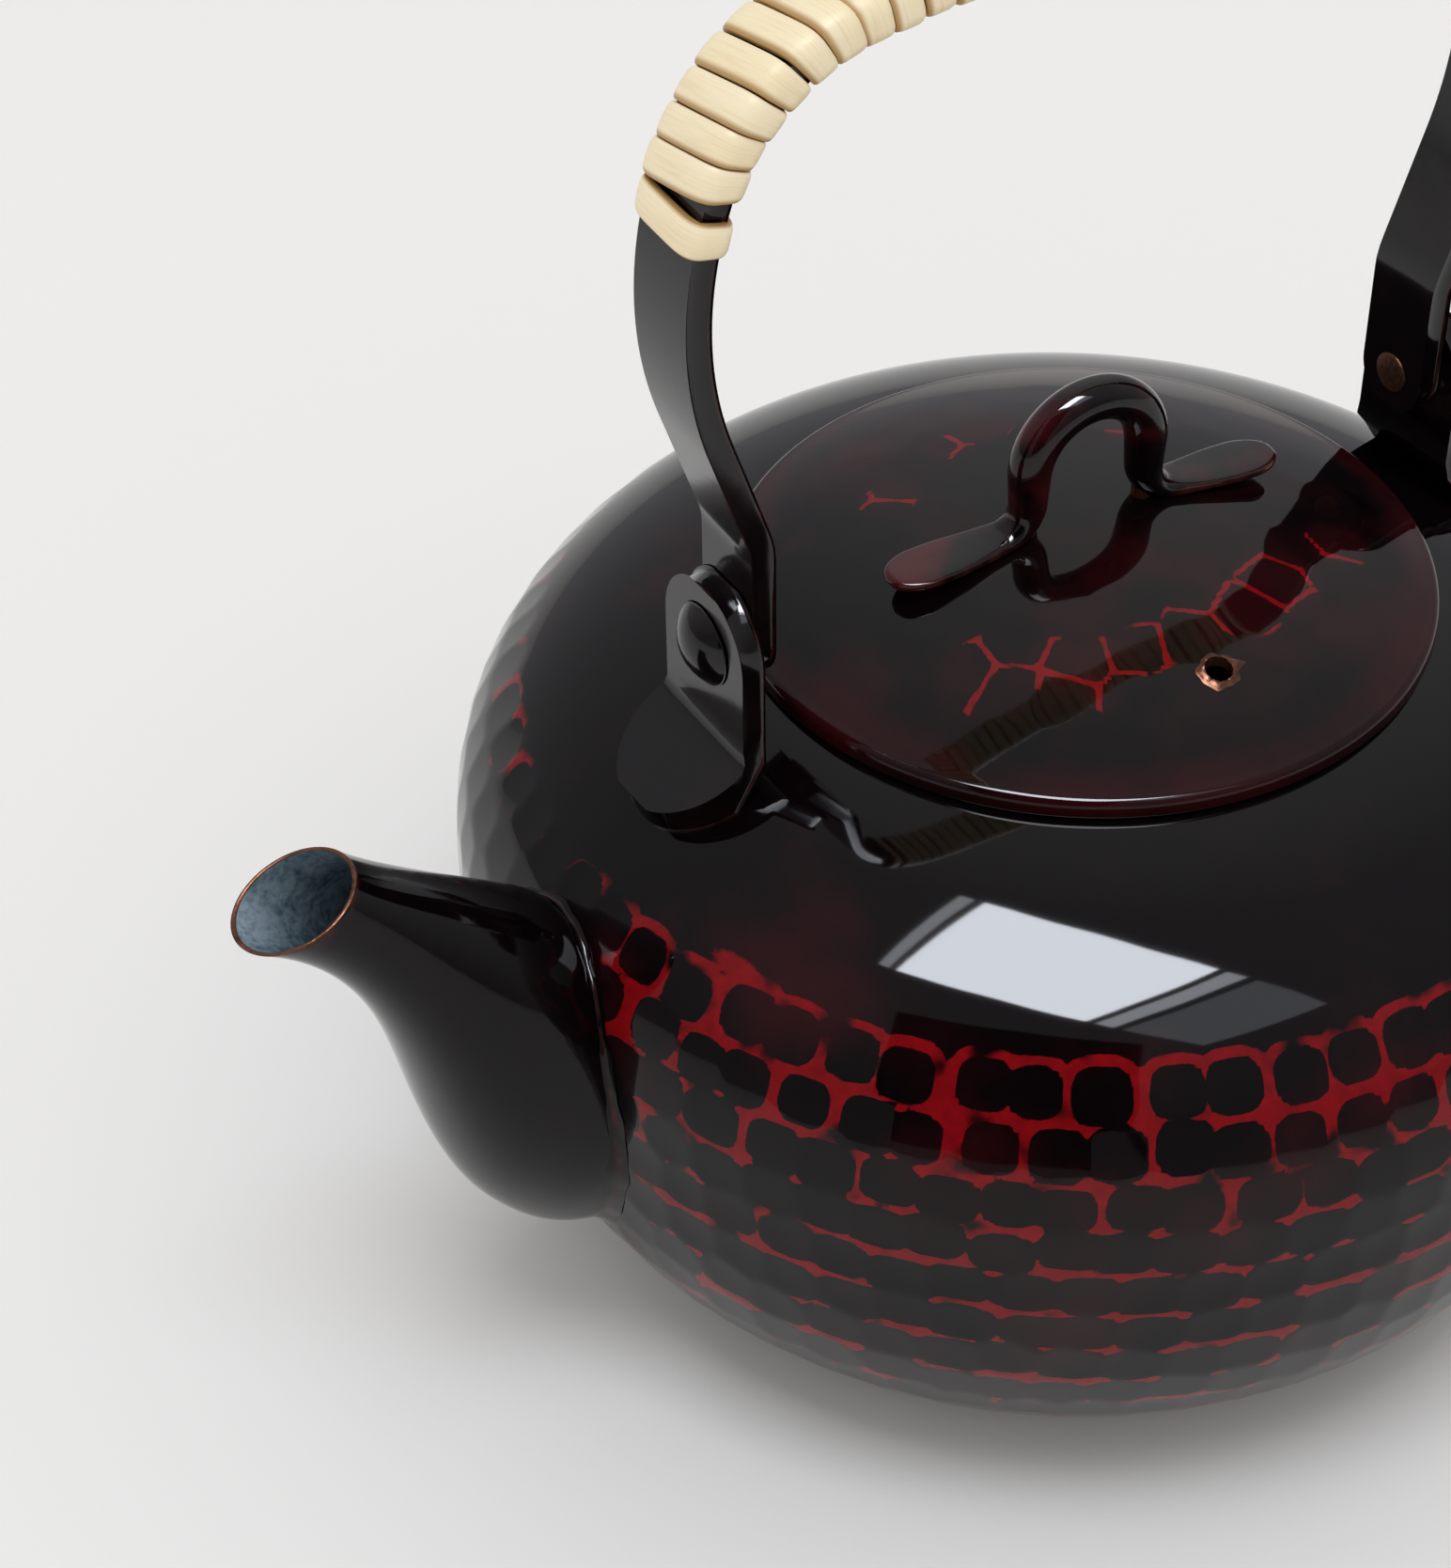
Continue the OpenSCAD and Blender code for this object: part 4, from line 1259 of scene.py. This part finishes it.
# %% The lid's rubbed marks
# Places where the black was rubbed through: direction in degrees, distance from the axis, and size in mm.
RUBBED_SPOTS = (
    (-144, 35, 9), (-130, 31, 6), (-116, 31, 7), (-102, 28, 6), (-88, 26, 6), (-70, 28, 7), (-54, 29, 8),
    (138, 28, 6), (105, 27, 5), (90, 27, 5), (44, 22, 3), (-117, 35, 4), (-30, 36, 6), (150, 40, 4),
)
MARK_RINGS = (20.0, 28.5, 37.0)
MARK_PITCH = 9.0
MARK_DEPTH = 0.035
MARK_RADIUS = 260.0
lid_blows = np.random.default_rng(23)
marks = []
for ring_radius in MARK_RINGS:
    ring_count = round(2 * math.pi * ring_radius / MARK_PITCH)
    for k in range(ring_count):
        turn = 2 * math.pi * (k + lid_blows.uniform(-0.2, 0.2)) / ring_count
        reach = ring_radius + lid_blows.normal(0, 0.9)
        marks.append((reach * math.cos(turn), reach * math.sin(turn)))
marks = np.array(marks)
lid_points = points_of(lid)
lid_r = np.hypot(lid_points[:, 0], lid_points[:, 1])
is_top = lid_points[:, 2] > dome_height(lid_r) - SHEET * 0.4
gap = np.sort(np.hypot(*(lid_points[:, None, :2] - marks[None]).transpose(2, 0, 1)), axis=1)[:, :2]
ridge = 1 - smoothstep(gap[:, 1] - gap[:, 0], 0.1, 1.5)
spot_reveal = np.zeros(len(lid_points))
for degrees, reach, size in RUBBED_SPOTS:
    at_x, at_y = reach * math.cos(math.radians(degrees)), reach * math.sin(math.radians(degrees))
    near_spot = np.hypot(lid_points[:, 0] - at_x, lid_points[:, 1] - at_y)
    spot_reveal = np.maximum(spot_reveal, 1 - smoothstep(near_spot, size * 0.5, size * 1.05))
store(lid, "net", ridge * is_top)
store(lid, "reveal", 0.80 * spot_reveal)
store(lid, "smoke", 0.42 + 0.35 * spot_reveal + 0.55 * smoothstep(lid_r, 44, 49))
lid_points[:, 2] -= np.maximum(0, MARK_DEPTH - gap[:, 0] ** 2 / (2 * MARK_RADIUS)) * is_top
move_points(lid, lid_points)
finish_piece(lid, "lid", ["lid_disc"], [lid_lacquer, wiped_tin, bare_copper])
centre_x, centre_y, centre_z = face_centres(lid).T
centre_r = np.hypot(centre_x, centre_y)
above_dome = centre_z - dome_height(centre_r)
from_hole = np.hypot(centre_x, centre_y + STEAM_R)
in_hole = from_hole < STEAM_D / 2 + 0.02
torn = in_hole | ((from_hole < 1.5 * BURR_R) & (above_dome > 0.05))
under_lid = (above_dome < -SHEET * 0.5) & (centre_r < rim_inner)
set_finishes(lid, np.where(torn, 2, under_lid))
move_points(lid, turned(points_of(lid), LID_TURN))

# %% [markdown]
# ## The knob
#
# The knob was forged from one rod: the middle is bent to a loop, and each end is hammered out to a leaf that
# lies just over the lid. A tapered curve cannot turn from round to flat, so each ring of the sweep has its
# own width and thickness, and both change smoothly along the rod.

# %% Forge the knob
ROD_D = 6.4
LOOP_R = 9.6
LOOP_Z = CREST_Z + 19.5
FOOT_BEND_R = 5.0
LEAF_REACH = 32.5
LEAF_W = 8.4
LEAF_T = 2.0
LEAF_FALL = 2.5
TIP_ROUND = 6.0
leaf_z = CREST_Z + DOME_H + 0.1
leg_length = LOOP_Z - leaf_z - FOOT_BEND_R
leaf_length = LEAF_REACH - LOOP_R - FOOT_BEND_R
# From the top of the loop: round the loop, down the leg, round the foot's bend and out along the leaf.
foot_turn = 90 - LEAF_FALL
knob_moves = [(LOOP_R, 90), (leg_length,), (FOOT_BEND_R, -foot_turn), (leaf_length,)]
knob_half = walk(0, LOOP_Z + LOOP_R, 90, knob_moves, 0.4)
knob_along = distances(knob_half[:, :2])
knob_length = knob_along[-1]
bend_start = math.pi / 2 * LOOP_R + leg_length
to_leaf = smoothstep(knob_along, bend_start - 1.5, bend_start + math.radians(foot_turn) * FOOT_BEND_R + 3)
from_tip = np.clip((knob_length - knob_along) / (leaf_length + 2), 0, 1)
from_tip_mm = np.clip(knob_length - knob_along, 0.01, None)
tip_share = np.clip(from_tip_mm / TIP_ROUND, 0, 1)
leaf_width = LEAF_W * np.sqrt(tip_share * (2 - tip_share)) * (1 - 0.28 * smoothstep(from_tip, 0.40, 1.0))
rod_width = ROD_D * (1 - 0.10 * smoothstep(knob_along, bend_start - 7, bend_start))
width = rod_width * (1 - to_leaf) + leaf_width * to_leaf
edge_share = np.clip(from_tip_mm / (LEAF_T / 2), 0, 1)
leaf_round = np.sqrt(edge_share * (2 - edge_share)).clip(0.1)
leaf_thick = LEAF_T * leaf_round * (0.90 + 0.3 * smoothstep(from_tip, 0.5, 1.0))
thick = rod_width * (1 - to_leaf) + leaf_thick * to_leaf
KNOB_SIDES = 40
knob_turn = np.linspace(0, 2 * math.pi, KNOB_SIDES, endpoint=False)


def knob_rows(line, widths, thicknesses):
    """Rings of the knob: an ellipse of its own width and thickness at each point of the line."""
    flatness = 1 - 0.55 * smoothstep(widths / thicknesses, 1.3, 2.6)[:, None]
    side_y = widths[:, None] / 2 * np.cos(knob_turn)
    out = thicknesses[:, None] / 2 * signed_power(np.sin(knob_turn), flatness)
    heading = np.radians(line[:, 2:3])
    x, z = line[:, :1] + np.cos(heading) * out, line[:, 1:2] - np.sin(heading) * out
    return np.stack([x, side_y, z], axis=2)


right_rows = knob_rows(knob_half, width, thick)
left_rows = right_rows[::-1][:-1] * (-1, 1, 1)
rows = np.concatenate([left_rows, right_rows])
faces = grid_faces(len(rows), KNOB_SIDES)
faces.append(list(range(KNOB_SIDES)))
faces.append(list(range((len(rows) - 1) * KNOB_SIDES, len(rows) * KNOB_SIDES)))
knob_points = rows.reshape(-1, 3)
above = dome_height(np.hypot(knob_points[:, 0], knob_points[:, 1])) + 0.05
knob_points[:, 2] = np.maximum(knob_points[:, 2], above)
knob = new_object("knob", turned(knob_points, LID_TURN), faces)
edge_rows = np.cos(knob_turn) ** 6 * np.concatenate([to_leaf[::-1][:-1], to_leaf])[:, None]
store(knob, "edge", edge_rows.ravel()[:len(knob.data.vertices)])
finish_piece(knob, "lid", ["knob_loop"], [knob_lacquer])

# %% [markdown]
# ## Pieces that keep their mechanical shape
#
# The lid's collar and the knob's rivets are plain turned pieces, so their mechanical shapes are right as
# they are. They only get their finishes: wiped tin, and bare copper under the lid.

# %% Dress the collar and the knob's rivets
for node, material in (("lid_collar", wiped_tin), ("knob_rivets", bare_copper)):
    for material_slot in frame["nodes"][node].material_slots:
        material_slot.material = material
    print(node, "has", material.name)
